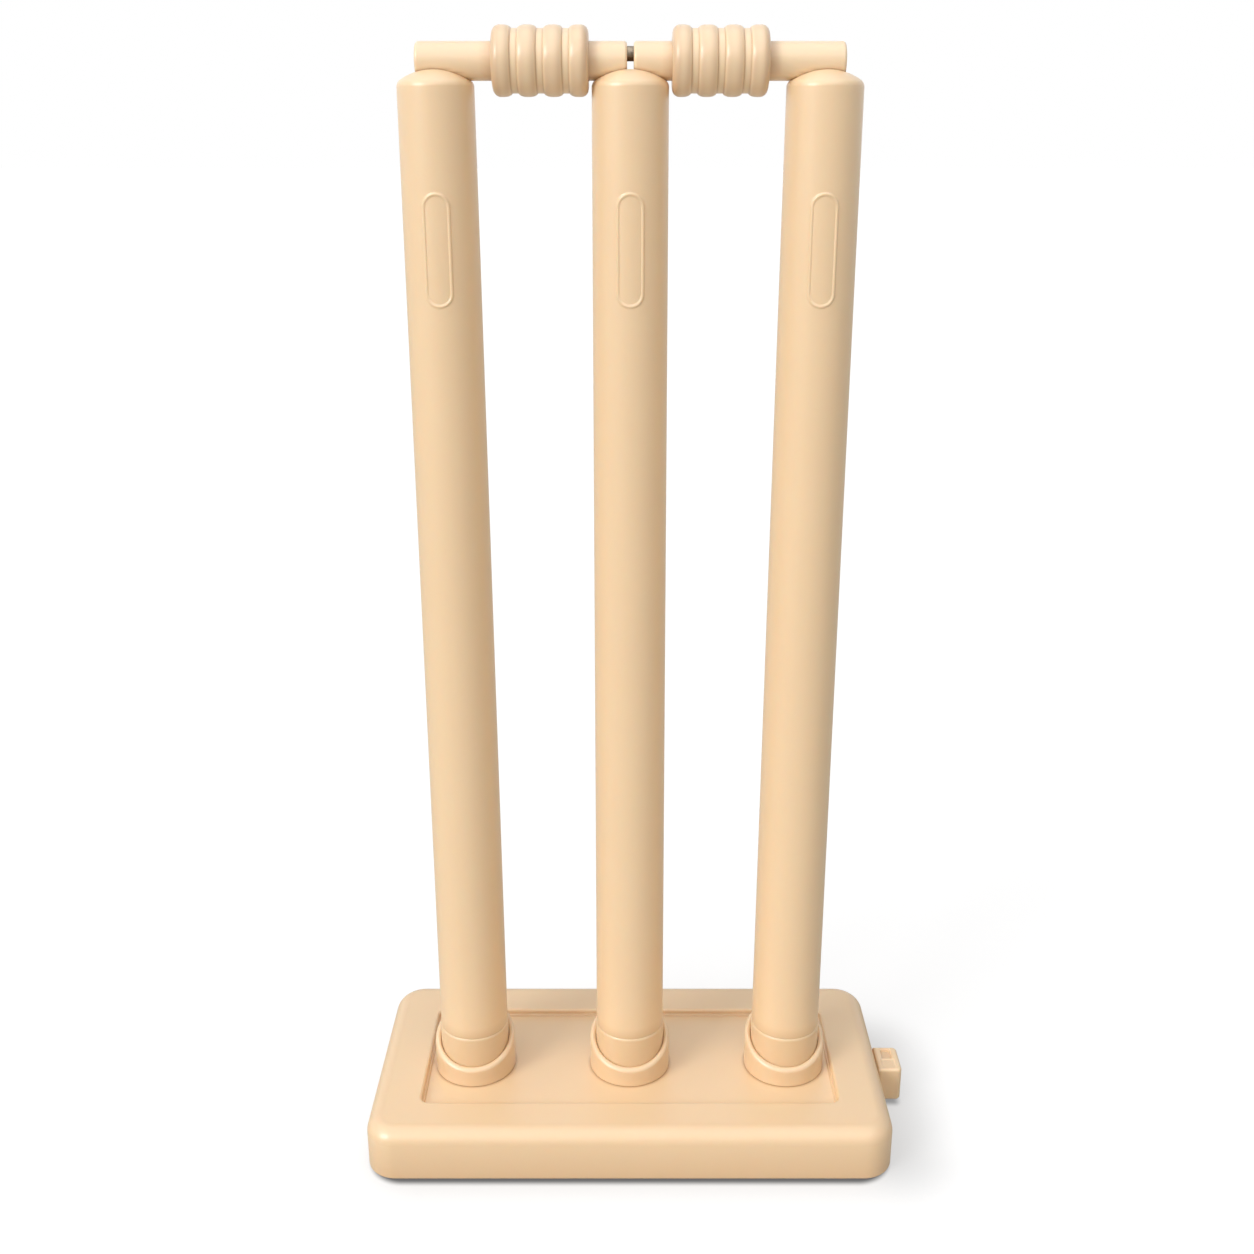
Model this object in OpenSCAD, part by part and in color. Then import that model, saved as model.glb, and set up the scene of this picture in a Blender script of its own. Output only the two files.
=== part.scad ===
// Cricket stumps: three hollow stumps in a sand-filled base, with two bails joined by a pin.
// X runs along the wicket, Y from front to back, and Z is up from the floor.
// The origin is on the floor, under the middle of the base.

/* [Wicket] */
// Width over the two outer stumps, measured at their shoulders
wicket_w = 228.6; // [214:0.1:260]
// How far the row of stumps stands in front of the base's middle
row_forward = 3.5; // [0:0.5:8]

/* [Stumps] */
// Length of a stump, from the underside of its boot to the crest of its dome
stump_l = 597.2; // [450:0.1:720]
// Diameter at the shoulder, under the dome
stump_top_d = 37.9; // [36:0.1:39.6]
// Diameter just above the boot
stump_foot_d = 40.4; // [39:0.1:41.1]
// Wall of the hollow stump
stump_wall = 2.2; // [1.5:0.1:3]
// Radius of the domed top
dome_r = 27.5; // [24:0.5:40]
// Radius of the rounding between the dome and the side
shoulder_r = 4; // [3:0.5:7]
// Depth of the bail groove's floor below the dome's crest
groove_depth = 6.75; // [5:0.05:9]
// Solid plastic left under the groove
groove_skin = 3; // [2:0.5:6]
// Bevel at the upper end of the hollow
inner_bevel = 4; // [2:0.5:6]
// How far above the boot the hollow starts to narrow
neck_above = 4; // [2:0.5:8]
// How far below the boot's edge the hollow has narrowed
neck_below = 2; // [1:0.5:4]

/* [Boots] */
// Outer diameter of the boot on a stump's foot
boot_d = 41.2; // [40.7:0.1:42]
// Height of the boot
boot_h = 51.5; // [45:0.1:60]
// Wall of the boot's side
boot_wall = 1.9; // [1.4:0.1:2.4]
// Thickness of the boot's floor
boot_floor = 3; // [2:0.5:6]
// Rounding of the boot's upper edge
boot_lip = 0.8; // [0.3:0.1:1.2]

/* [Sockets] */
// Outer diameter of the collar above the deck
collar_d = 48.6; // [48:0.1:52]
// Height of the collar's rim above the deck, at the front
collar_front_h = 11.3; // [8:0.1:20]
// Height of the collar's rim above the deck, at the back
collar_back_h = 31; // [24:0.5:40]
// Diameter of the cup below the deck
cup_d = 46.4; // [45.5:0.1:47.4]
// Thickness of the cup's floor
cup_floor = 3; // [2:0.5:5]
// Gap round a boot in its socket
boot_gap = 0.45; // [0.35:0.05:0.5]
// Outer diameter of the ring nut under the deck
nut_d = 60; // [56:0.5:66]
// Height of the ring nut
nut_h = 6; // [4:0.5:8]
// Number of spanner notches round the nut
notch_n = 8; // [4:1:12]
// Radius of a notch
notch_r = 2.5; // [1.5:0.1:3]
// Thickness of the rubber washer between the nut and the deck
washer_t = 1.5; // [1:0.1:2]
// How far the washer's edge lies inside the nut's
washer_in = 1; // [0:0.5:2]

/* [Base] */
// Width of the base
base_w = 308; // [300:1:340]
// Depth of the base, from front to back
base_d = 152; // [144:1:180]
// Height of the base's rim above the floor
base_h = 32.5; // [30:0.5:42]
// Radius of the base's upright corners
corner_r = 18; // [14:0.5:26]
// Rounding of the upper edge
top_edge_r = 9.6; // [5:0.1:10]
// Rounding of the lower edge
low_edge_r = 1.2; // [1:0.1:2.6]
// Thickness of the base's walls and deck
skin = 3.5; // [3.1:0.1:4]
// Width of the rim at the deck's left and right ends
rim_side = 30.3; // [24:0.1:34]
// Width of the rim in front of the deck
rim_front = 28.4; // [24:0.1:34]
// Width of the rim behind the deck
rim_back = 30.7; // [24:0.1:34]
// Depth of the deck's first step below the rim
step_1 = 3.3; // [2:0.1:4]
// Depth of the deck's second step
step_2 = 1.2; // [0.6:0.1:1.6]
// Width of the ledge between the two steps
step_ledge = 1.2; // [0.6:0.1:2]
// Radius of the deck's corners
deck_corner_r = 5; // [3:0.5:9]
// Least distance between a collar and the deck's end
deck_margin = 3; // [2:0.5:4]
// Extra wall behind the rounded upper edge
edge_fill = 3; // [2:0.5:5]

/* [Underside] */
// Height of the base's lower edge above the floor
standoff = 0.5; // [0.3:0.1:1.2]
// Thickness of the bottom plate
plate_t = 4; // [3:0.1:4.5]
// Thickness of the gasket under the ledge
gasket_t = 1; // [0.5:0.1:2]
// Width of the ledge that the gasket seals against
ledge_w = 8; // [6:0.5:9]
// Thickness of that ledge
ledge_t = 3; // [2:0.5:5]
// Width of a rubber grip strip
strip_w = 12; // [6:0.5:20]
// Length of a grip strip
strip_l = 112; // [60:1:120]
// Thickness of a grip strip
strip_t = 2.5; // [1.8:0.1:3]
// Distance between neighbouring grip strips
strip_pitch = 108; // [60:1:118]
// Radius of a grip strip's corners
strip_r = 2; // [1:0.5:3]
// Height of the sand in the base
sand_h = 12.5; // [5:0.5:13]
// Radius of the sand's corners
sand_r = 6; // [3:0.5:12]

/* [Cover screws] */
// Shank diameter of a screw
screw_d = 3; // [2.5:0.1:3.4]
// Head diameter of a screw
head_d = 5.8; // [5:0.1:6.4]
// Height of a screw's head
head_h = 1.8; // [1.2:0.1:2]
// Length of a screw's shank
screw_l = 12; // [8:0.5:13]
// Diameter of the posts that the screws bite into
post_d = 10; // [8.5:0.5:11]
// Plastic left beyond a screw's hole
post_end = 3; // [1:0.5:4]
// Length of a slot in the screw's head
slot_l = 3.5; // [2:0.1:4.5]
// Width of that slot
slot_w = 0.9; // [0.5:0.1:1.2]
// Depth of that slot
slot_depth = 1; // [0.5:0.1:1.1]
// Distance from the base's outer side to a screw's axis
screw_inset = 7.5; // [7:0.1:8]
// Distance between screws along a long side
screw_pitch_x = 80; // [60:1:90]
// Distance between screws along a short side
screw_pitch_y = 76; // [60:1:90]

/* [Filler cap] */
// How far the cap stands out from the base's side
cap_out = 15; // [10:0.5:22]
// Length of the cap from front to back
cap_l = 23.5; // [22:0.5:34]
// Height of the cap
cap_h = 22.5; // [18:0.5:23]
// Height of the cap's underside above the floor
cap_lift = 2.5; // [2:0.5:5]
// How far the cap's middle lies behind the base's middle
cap_back = 4.5; // [-5:0.5:8]
// Rounding of the cap's upright outer edges
cap_edge_r = 3; // [1:0.5:5]
// Length of the finger pocket from front to back
pocket_l = 9; // [6:0.5:12]
// Width of the finger pocket
pocket_w = 6; // [4:0.5:8]
// Depth of the finger pocket
pocket_depth = 1.5; // [0.8:0.1:3]
// Width of the shallow step in front of the pocket
dip_w = 8; // [5:0.5:9]
// Depth of that step
dip_depth = 0.5; // [0.3:0.1:0.8]
// Distance from the step to the cap's front
dip_edge = 2; // [1:0.5:4]
// Diameter of the plug that enters the base
plug_d = 12; // [10:0.5:12.5]
// Length of the plug beyond the base's side
plug_l = 12; // [10:0.5:14]
// Thickness of the O-ring's cord on the plug
seal_t = 1.5; // [1:0.1:1.8]
// Distance from the plug's end to the O-ring's groove
seal_in = 3; // [2:0.5:5]
// Wall of the boss round the filling hole
port_wall = 2.6; // [2:0.1:3]

/* [Bails] */
// Diameter of a bail's rod
rod_d = 18.1; // [16:0.1:21]
// Rounding of a rod's ends
rod_edge = 1.5; // [0.4:0.1:2]
// How far a rod reaches beyond the outer stump's axis
rod_over = 8.95; // [4:0.05:16]
// Gap between the two bails
bail_gap = 3.2; // [2:0.1:8]
// Gap between a barrel and the middle stump
barrel_in_gap = 1.35; // [0.8:0.05:4]
// Gap between a barrel and the outer stump
barrel_out_gap = 9.3; // [8:0.1:12]
// Number of ribs round a barrel
rib_n = 4; // [2:1:5]
// Diameter over a barrel's ribs
rib_d = 32.9; // [30:0.1:40]
// Height of a rib above the valleys
rib_h = 1.6; // [1:0.1:3]
// Width of a rib
rib_w = 9.3; // [6:0.1:9.8]
// Rounding of a barrel's ends
barrel_end_r = 3.8; // [3:0.1:4.8]

/* [Link pin] */
// Diameter of the steel pin that joins the bails
link_d = 7; // [4:0.1:8]
// How far the pin reaches into each bail
link_grip = 6.75; // [5:0.05:7]
// Height of the pin's axis above the rods' axis
link_rise = 3.3; // [0:0.1:4]

/* [Fits] */
// Gap between a bail's rod and the groove under it
groove_gap = 0.3; // [0.2:0.05:0.5]
// Gap round pieces that are fixed together
fixed_gap = 0.05; // [0.02:0.01:0.1]
// Gap round covers, nuts and washers
loose_gap = 0.2; // [0.1:0.05:0.4]
// Gap between the plug and the filling hole
plug_gap = 0.3; // [0.2:0.05:0.5]
// Gap between the O-ring and the filling hole
seal_gap = 0.05; // [0.02:0.01:0.1]
// Gap between the sand and what stands in it
sand_gap = 0.8; // [0.4:0.1:1.5]
// Gap between the sand and the posts or the plug
sand_edge = 2; // [1:0.5:4]
// Gap between the filler cap and the base's side
cap_gap = 0.3; // [0.2:0.05:0.5]

/* [Hidden] */

// Steps of a rounded edge's quarter and of a small one, and facets of true round surfaces
arc_n = 8;
small_n = 4;
$fn = 96;
// Overlap that keeps a cut clear of the face it starts from
eps = 1;

// Stumps and their row
stump_x = (wicket_w - stump_top_d) / 2;
row_y = -row_forward;
stump_r = stump_top_d / 2;
foot_r = stump_foot_d / 2;

// Heights of the base's layers, from the floor up
plate_top = standoff + plate_t;
ledge_z = plate_top + gasket_t;
deck_z = base_h - step_1 - step_2;
deck_under = deck_z - skin;
rim_under = base_h - skin;

// Sockets and boots
collar_r = collar_d / 2;
cup_r = cup_d / 2;
boot_r = boot_d / 2;
bore_r = boot_r + boot_gap;
cup_z = plate_top;
boot_z = cup_z + cup_floor;
boot_top = boot_z + boot_h;
spigot_r = boot_r - boot_wall - fixed_gap;
spigot_z = boot_z + boot_floor;
hole_r = cup_r + loose_gap;
washer_z = deck_under - washer_t;
nut_z = washer_z - nut_h;

// Dome: the rounding touches both the sphere and the side
crest_z = boot_z + stump_l;
dome_z = crest_z - dome_r;
shoulder_x = stump_r - shoulder_r;
shoulder_z = dome_z + sqrt(pow(dome_r - shoulder_r, 2) - pow(shoulder_x, 2));
shoulder_a = atan2(shoulder_z - dome_z, shoulder_x);

// Bails
rod_r = rod_d / 2;
groove_r = rod_r + groove_gap;
bail_z = crest_z - groove_depth + groove_r;
bail_in = bail_gap / 2;
bail_out = stump_x + rod_over;
barrel_in = stump_r + barrel_in_gap;
barrel_out = stump_x - stump_r - barrel_out_gap;
barrel_l = barrel_out - barrel_in;
rib_pitch = (barrel_l - rib_w) / (rib_n - 1);
rib_r = rib_d / 2;
valley_r = rib_r - rib_h;
link_r = link_d / 2;
link_z = bail_z + link_rise;

// Filler cap and its hole
cap_z = cap_lift + cap_h / 2;
cap_x = base_w / 2 + cap_gap;
plug_r = plug_d / 2;
port_r = plug_r + plug_gap;
port_l = plug_l - skin;
seal_r = port_r - seal_gap;
seal_x = base_w / 2 - plug_l + seal_in;

// Deck: the rim leaves it at least as long as the row of sockets
deck_w = 2 * max(base_w / 2 - rim_side, stump_x + collar_r + deck_margin);
deck_d = base_d - rim_front - rim_back;
deck_y = (rim_front - rim_back) / 2;

// Colours
cream = [0.93, 0.80, 0.64];
cream_dark = [0.89, 0.75, 0.58];
rubber = [0.16, 0.16, 0.17];
steel = [0.66, 0.64, 0.60];
sand = [0.80, 0.68, 0.47];

SIDES = [-1, 0, 1];

// Screw places: four along each long side and two along each short side
screw_spots = concat(
    [for (s = [-1, 1], i = [-1.5:1:1.5]) [i * screw_pitch_x, s * (base_d / 2 - screw_inset)]],
    [for (s = [-1, 1], i = [-0.5, 0.5]) [s * (base_w / 2 - screw_inset), i * screw_pitch_y]]
);

// Points of an arc about [x, y] from angle a to angle b
function arc(x, y, r, a, b, n = arc_n) =
    [for (i = [0:n]) [x + r * cos(a + (b - a) * i / n), y + r * sin(a + (b - a) * i / n)]];

// Outline of a rectangle with rounded corners, centred on the origin
function round_rect(w, d, r) = concat(
    arc(w / 2 - r, d / 2 - r, r, 0, 90),
    arc(r - w / 2, d / 2 - r, r, 90, 180),
    arc(r - w / 2, r - d / 2, r, 180, 270),
    arc(w / 2 - r, r - d / 2, r, 270, 360)
);

// Right half of a slab's cross-section, out to x = half, with rounded upper and lower edges
function slab_side(half, z0, z1, r_top, r_low) = concat(
    arc(half - r_low, z0 + r_low, r_low, -90, 0),
    arc(half - r_top, z1 - r_top, r_top, 0, 90)
);

// Radius of a rib at s, which runs from -1 to 1 across its width
function rib_at(s) = valley_r + rib_h * pow(max(0, 1 - pow(abs(s), 2.6)), 0.62);

// Prism with a rounded rectangle as its outline
module block(w, d, r, z0, z1) {
    translate([0, 0, z0])
        linear_extrude(z1 - z0)
            polygon(round_rect(w, d, r));
}

// Slab with rounded upright corners and rounded upper and lower edges
module slab(w, d, r, z0, z1, r_top, r_low) {
    side_y = slab_side(d / 2, z0, z1, r_top, r_low);
    side_x = slab_side(w / 2, z0, z1, r_top, r_low);
    n = len(side_y);
    rotate([90, 0, 90])
        linear_extrude(w - 2 * r, center = true)
            polygon(concat(side_y, [for (i = [n - 1:-1:0]) [-side_y[i][0], side_y[i][1]]]));
    rotate([90, 0, 0])
        linear_extrude(d - 2 * r, center = true)
            polygon(concat(side_x, [for (i = [n - 1:-1:0]) [-side_x[i][0], side_x[i][1]]]));
    for (sx = [-1, 1], sy = [-1, 1])
        translate([sx * (w / 2 - r), sy * (d / 2 - r), 0])
            rotate_extrude()
                polygon(concat([[0, z0]], slab_side(r, z0, z1, r_top, r_low), [[0, z1]]));
}

// Moves its children to one stump's place in the row
module at_stump(side) {
    translate([side * stump_x, row_y, 0])
        children();
}

// Lays its children, which are turned about Z, along X at the filling hole's axis
module at_port(x) {
    translate([x, cap_back, cap_z])
        rotate([0, 90, 0])
            children();
}

// Prism of the base's own outline, drawn in by a margin on every side
module inset_block(margin, z0, z1) {
    block(base_w - 2 * margin, base_d - 2 * margin, corner_r - margin, z0, z1);
}

// Sunken deck: two steps with a narrow ledge between them
module deck_cut() {
    ledge = 2 * step_ledge;
    translate([0, deck_y, 0]) {
        block(deck_w, deck_d, deck_corner_r, base_h - step_1, base_h + eps);
        block(deck_w - ledge, deck_d - ledge, deck_corner_r - step_ledge, deck_z, base_h);
    }
}

// Recess under the ledge, for the plate and the gasket
module plate_recess() {
    inset_block(skin, 0, ledge_z);
}

// Space inside the base, above the plate, with a raised part under the rim
module base_hollow() {
    wall = 2 * skin;
    inset_block(skin + ledge_w, 0, ledge_z + ledge_t + eps);
    inset_block(skin, ledge_z + ledge_t, deck_under);
    difference() {
        inset_block(skin + edge_fill, deck_under - eps, rim_under);
        translate([0, deck_y, 0])
            block(deck_w + wall, deck_d + wall, deck_corner_r + skin, deck_under - 2 * eps, base_h);
    }
}

// Upper casing of the base
module base_shell() {
    color(cream)
        difference() {
            union() {
                difference() {
                    slab(base_w, base_d, corner_r, standoff, base_h, top_edge_r, low_edge_r);
                    base_hollow();
                }
                for (p = screw_spots)
                    translate([p[0], p[1], ledge_z])
                        cylinder(h = plate_top + screw_l + post_end - ledge_z, d = post_d);
                at_port(base_w / 2 - skin - port_l)
                    cylinder(h = port_l + eps, r = port_r + port_wall);
            }
            plate_recess();
            deck_cut();
            for (s = SIDES)
                at_stump(s)
                    translate([0, 0, deck_under - eps])
                        cylinder(h = skin + 2 * eps, r = hole_r);
            for (p = screw_spots)
                translate([p[0], p[1], 0])
                    cylinder(h = plate_top + screw_l, d = screw_d + 2 * fixed_gap);
            at_port(base_w / 2 - skin - port_l - eps)
                cylinder(h = port_l + skin + 2 * eps, r = port_r);
        }
}

// Flat plate that closes the base from below
module base_plate() {
    gap = 2 * fixed_gap;
    color(cream_dark)
        difference() {
            inset_block(skin + loose_gap, standoff, plate_top);
            for (s = SIDES)
                translate([s * strip_pitch, 0, 0])
                    block(strip_w + gap, strip_l + gap, strip_r + fixed_gap, 0, strip_t);
            for (p = screw_spots)
                translate([p[0], p[1], 0]) {
                    cylinder(h = standoff + head_h + loose_gap, d = head_d + 2 * loose_gap);
                    cylinder(h = plate_top + eps, d = screw_d + 2 * fixed_gap);
                }
        }
}

// Flat gasket between the plate and the ledge inside the base
module base_gasket() {
    color(rubber)
        difference() {
            inset_block(skin + loose_gap, plate_top, ledge_z);
            inset_block(skin + ledge_w, 0, ledge_z + eps);
            for (p = screw_spots)
                translate([p[0], p[1], 0])
                    cylinder(h = ledge_z + eps, d = screw_d + 2 * fixed_gap);
        }
}

// One cross-headed screw, pointing up, with its head's top face at z = 0
module cover_screw() {
    difference() {
        union() {
            cylinder(h = head_h, d = head_d);
            cylinder(h = head_h + screw_l, d = screw_d);
        }
        for (a = [0, 90])
            rotate([0, 0, a])
                translate([-slot_l / 2, -slot_w / 2, -eps])
                    cube([slot_l, slot_w, slot_depth + eps]);
    }
}

// All the screws that hold the bottom plate
module cover_screws() {
    color(steel)
        for (p = screw_spots)
            translate([p[0], p[1], standoff + loose_gap])
                cover_screw();
}

// Rubber strip let into the plate's underside
module grip_strip(side) {
    color(rubber)
        translate([side * strip_pitch, 0, 0])
            block(strip_w, strip_l, strip_r, 0, strip_t);
}

// Sand that lies on the plate, clear of the cups, posts and filling hole
module sand_fill() {
    w = base_w - 2 * (skin + plug_l + sand_edge);
    d = base_d - 2 * (screw_inset + post_d / 2 + sand_edge);
    color(sand)
        difference() {
            block(w, d, sand_r, plate_top, plate_top + sand_h);
            for (s = SIDES)
                at_stump(s) {
                    cylinder(h = base_h, r = cup_r + sand_gap);
                    translate([0, 0, nut_z - loose_gap])
                        cylinder(h = base_h, r = nut_d / 2 + sand_gap);
                }
        }
}

// Cup that holds a stump's foot; its collar rises above the deck to a sloping rim
module socket(side) {
    reach = collar_r + eps;
    mid_h = deck_z + (collar_front_h + collar_back_h) / 2;
    rise = (collar_back_h - collar_front_h) / collar_d * reach;
    top = deck_z + collar_back_h + 2 * eps + rise;
    color(cream)
        at_stump(side)
            difference() {
                union() {
                    translate([0, 0, cup_z])
                        cylinder(h = top - cup_z, r = cup_r);
                    translate([0, 0, deck_z])
                        cylinder(h = top - deck_z, r = collar_r);
                }
                translate([0, 0, boot_z])
                    cylinder(h = top, r = bore_r);
                rotate([90, 0, 90])
                    linear_extrude(2 * reach, center = true)
                        polygon([[-reach, mid_h - rise], [reach, mid_h + rise],
                            [reach, top + eps], [-reach, top + eps]]);
            }
}

// Rubber washer that seals a cup's hole in the deck from below
module socket_washer(side) {
    color(rubber)
        at_stump(side)
            translate([0, 0, washer_z])
                difference() {
                    cylinder(h = washer_t, r = nut_d / 2 - washer_in);
                    translate([0, 0, -eps])
                        cylinder(h = washer_t + 2 * eps, r = cup_r + loose_gap);
                }
}

// Ring nut that clamps a cup to the deck, with notches for a spanner
module socket_nut(side) {
    color(cream_dark)
        at_stump(side)
            translate([0, 0, nut_z])
                difference() {
                    cylinder(h = nut_h, d = nut_d);
                    translate([0, 0, -eps])
                        cylinder(h = nut_h + 2 * eps, r = cup_r + fixed_gap);
                    for (i = [0:notch_n - 1])
                        rotate([0, 0, (i + 0.5) * 360 / notch_n])
                            translate([nut_d / 2, 0, -eps])
                                cylinder(h = nut_h + 2 * eps, r = notch_r);
                }
}

// Block that closes the filling hole, with a finger pocket in its top and a round plug
module filler_cap() {
    top = cap_lift + cap_h;
    pocket_x = cap_x + (cap_out - pocket_w) / 2;
    dip_x = cap_x + (cap_out - dip_w) / 2;
    color(cream)
        difference() {
            union() {
                translate([cap_x, cap_back - cap_l / 2, 0]) {
                    translate([0, 0, cap_lift])
                        cube([cap_out - cap_edge_r, cap_l, cap_h]);
                    translate([0, cap_edge_r, cap_lift])
                        cube([cap_out, cap_l - 2 * cap_edge_r, cap_h]);
                    for (y = [cap_edge_r, cap_l - cap_edge_r])
                        translate([cap_out - cap_edge_r, y, cap_lift])
                            cylinder(h = cap_h, r = cap_edge_r);
                }
                at_port(cap_x - cap_gap - plug_l)
                    cylinder(h = plug_l + cap_gap + eps, r = plug_r);
            }
            translate([pocket_x, cap_back, top - pocket_depth])
                cube([pocket_w, pocket_l, pocket_depth + eps]);
            translate([dip_x, cap_back - cap_l / 2 + dip_edge, top - dip_depth])
                cube([dip_w, cap_l / 2 - 1.5 * dip_edge, dip_depth + eps]);
            at_port(seal_x)
                difference() {
                    cylinder(h = seal_t + loose_gap, r = plug_r + eps);
                    translate([0, 0, -eps])
                        cylinder(h = seal_t + 2 * eps, r = seal_r - seal_t - fixed_gap);
                }
        }
}

// O-ring in the groove of the cap's plug
module cap_seal() {
    color(rubber)
        at_port(seal_x + (seal_t + loose_gap) / 2)
            rotate_extrude()
                translate([seal_r - seal_t / 2, 0])
                    circle(d = seal_t, $fn = 24);
}

// Hollow stump with a domed top, open below where the boot closes it
module stump(side) {
    cap_under = bail_z - groove_r - groove_skin;
    in_top_r = stump_r - stump_wall;
    in_foot_r = foot_r - stump_wall;
    in_spigot_r = spigot_r - stump_wall;
    color(cream)
        at_stump(side)
            difference() {
                rotate_extrude()
                    polygon(concat(
                        [[0, cap_under], [in_top_r - inner_bevel, cap_under],
                            [in_top_r, cap_under - inner_bevel],
                            [in_foot_r, boot_top + neck_above], [in_spigot_r, boot_top - neck_below],
                            [in_spigot_r, spigot_z], [spigot_r, spigot_z],
                            [spigot_r, boot_top], [foot_r, boot_top]],
                        arc(shoulder_x, shoulder_z, shoulder_r, 0, shoulder_a),
                        [for (i = [1:arc_n])
                            let (a = shoulder_a + (90 - shoulder_a) * i / arc_n)
                            [i == arc_n ? 0 : dome_r * cos(a), dome_z + dome_r * sin(a)]]
                    ));
                translate([-stump_r - eps, 0, bail_z])
                    rotate([0, 90, 0])
                        cylinder(h = 2 * (stump_r + eps), r = groove_r);
            }
}

// Closed boot pushed over a stump's foot
module boot(side) {
    color(cream)
        at_stump(side)
            rotate_extrude()
                polygon(concat(
                    [[0, boot_z], [boot_r - boot_lip, boot_z], [boot_r, boot_z + boot_lip]],
                    arc(boot_r - boot_lip, boot_top - boot_lip, boot_lip, 0, 90, small_n),
                    [[boot_r - boot_wall, boot_top], [boot_r - boot_wall, spigot_z], [0, spigot_z]]
                ));
}

// Round rod of a bail, drilled at its inner end for the link pin
module bail_rod(side) {
    length = bail_out - bail_in;
    hole_l = link_grip + 1;
    color(cream)
        translate([side * bail_in, row_y, bail_z])
            rotate([0, side * 90, 0])
                difference() {
                    rotate_extrude()
                        polygon(concat(
                            [[0, 0]],
                            arc(rod_r - rod_edge, rod_edge, rod_edge, -90, 0, small_n),
                            arc(rod_r - rod_edge, length - rod_edge, rod_edge, 0, 90, small_n),
                            [[0, length]]
                        ));
                    translate([-side * link_rise, 0, -eps])
                        cylinder(h = hole_l + eps, r = link_r + fixed_gap);
                }
}

// Ribbed barrel round a bail's rod
module bail_barrel(side) {
    inner_r = rod_r + fixed_gap;
    ribs = [for (k = [0:rib_n - 1], i = [0:arc_n])
        let (s = -cos(180 * i / arc_n))
        if (!(k == 0 && s < 0) && !(k == rib_n - 1 && s > 0))
            [rib_at(s), rib_w / 2 + k * rib_pitch + s * rib_w / 2]];
    color(cream)
        translate([side * barrel_in, row_y, bail_z])
            rotate([0, side * 90, 0])
                rotate_extrude()
                    polygon(concat(
                        [[inner_r, 0]],
                        arc(rib_r - barrel_end_r, barrel_end_r, barrel_end_r, -90, 0),
                        ribs,
                        arc(rib_r - barrel_end_r, barrel_l - barrel_end_r, barrel_end_r, 0, 90),
                        [[inner_r, barrel_l]]
                    ));
}

// Steel pin that joins the two bails
module link_pin() {
    length = bail_gap + 2 * link_grip;
    color(steel)
        translate([-length / 2, row_y, link_z])
            rotate([0, 90, 0])
                cylinder(h = length, r = link_r);
}

base_shell();
base_plate();
base_gasket();
cover_screws();
grip_strip(-1);  // grip_strip_left
grip_strip(0);  // grip_strip_middle
grip_strip(1);  // grip_strip_right
sand_fill();
socket(-1);  // socket_left
socket(0);  // socket_middle
socket(1);  // socket_right
socket_washer(-1);  // socket_washer_left
socket_washer(0);  // socket_washer_middle
socket_washer(1);  // socket_washer_right
socket_nut(-1);  // socket_nut_left
socket_nut(0);  // socket_nut_middle
socket_nut(1);  // socket_nut_right
filler_cap();
cap_seal();
stump(-1);  // stump_left
stump(0);  // stump_middle
stump(1);  // stump_right
boot(-1);  // boot_left
boot(0);  // boot_middle
boot(1);  // boot_right
bail_rod(-1);  // bail_rod_left
bail_rod(1);  // bail_rod_right
bail_barrel(-1);  // bail_barrel_left
bail_barrel(1);  // bail_barrel_right
link_pin();
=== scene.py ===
"""Cricket stumps, dressed: three domed stumps in a sand-filled base, with two bails joined by a pin.

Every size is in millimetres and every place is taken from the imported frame. Each new surface is
worked out with numpy as a profile carried round an axis or along a rounded outline, and each finish
is a node material. X runs along the wicket, Y from front to back and Z up from the floor.
"""
import logging
import math
from dataclasses import dataclass
from enum import Enum
from typing import Callable, Optional, Union

import bmesh
import bpy
import numpy as np
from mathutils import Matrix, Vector
from mathutils.geometry import delaunay_2d_cdt


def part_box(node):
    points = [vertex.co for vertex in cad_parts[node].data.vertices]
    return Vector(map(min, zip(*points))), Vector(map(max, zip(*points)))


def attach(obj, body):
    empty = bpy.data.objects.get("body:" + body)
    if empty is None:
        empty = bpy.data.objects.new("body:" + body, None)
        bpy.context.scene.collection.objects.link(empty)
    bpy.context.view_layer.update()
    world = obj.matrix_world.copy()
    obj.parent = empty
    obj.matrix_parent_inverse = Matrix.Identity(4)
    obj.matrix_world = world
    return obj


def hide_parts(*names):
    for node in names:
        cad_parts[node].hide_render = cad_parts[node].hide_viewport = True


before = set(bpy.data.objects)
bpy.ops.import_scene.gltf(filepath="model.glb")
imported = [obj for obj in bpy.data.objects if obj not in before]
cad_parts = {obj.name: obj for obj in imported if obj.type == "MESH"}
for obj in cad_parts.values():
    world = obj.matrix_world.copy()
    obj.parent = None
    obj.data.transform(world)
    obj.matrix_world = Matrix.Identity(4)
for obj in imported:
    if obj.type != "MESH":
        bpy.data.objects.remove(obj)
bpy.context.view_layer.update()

log = logging.getLogger("stumps")
MM = 0.001
MERGE = 1e-6
SHARP = math.radians(38)
Grid = np.ndarray
Colour = tuple[float, float, float]


class Side(Enum):
    """Places along the row of stumps, with their sign on X."""

    LEFT = -1
    MIDDLE = 0
    RIGHT = 1

    @property
    def tag(self) -> str:
        """The word that ends the names of this side's pieces."""
        return self.name.lower()


@dataclass(frozen=True)
class Extent:
    """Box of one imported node, in millimetres."""

    low: np.ndarray
    high: np.ndarray

    @classmethod
    def of(cls, node: str) -> "Extent":
        """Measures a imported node.

        Args:
            node: Name of the node.

        Returns:
            Its box at rest.
        """
        low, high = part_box(node)
        return cls(np.array(low) / MM, np.array(high) / MM)

    @property
    def middle(self) -> np.ndarray:
        """Centre of the box."""
        return (self.low + self.high) / 2

    @property
    def size(self) -> np.ndarray:
        """Lengths of the box along X, Y and Z."""
        return self.high - self.low


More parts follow.
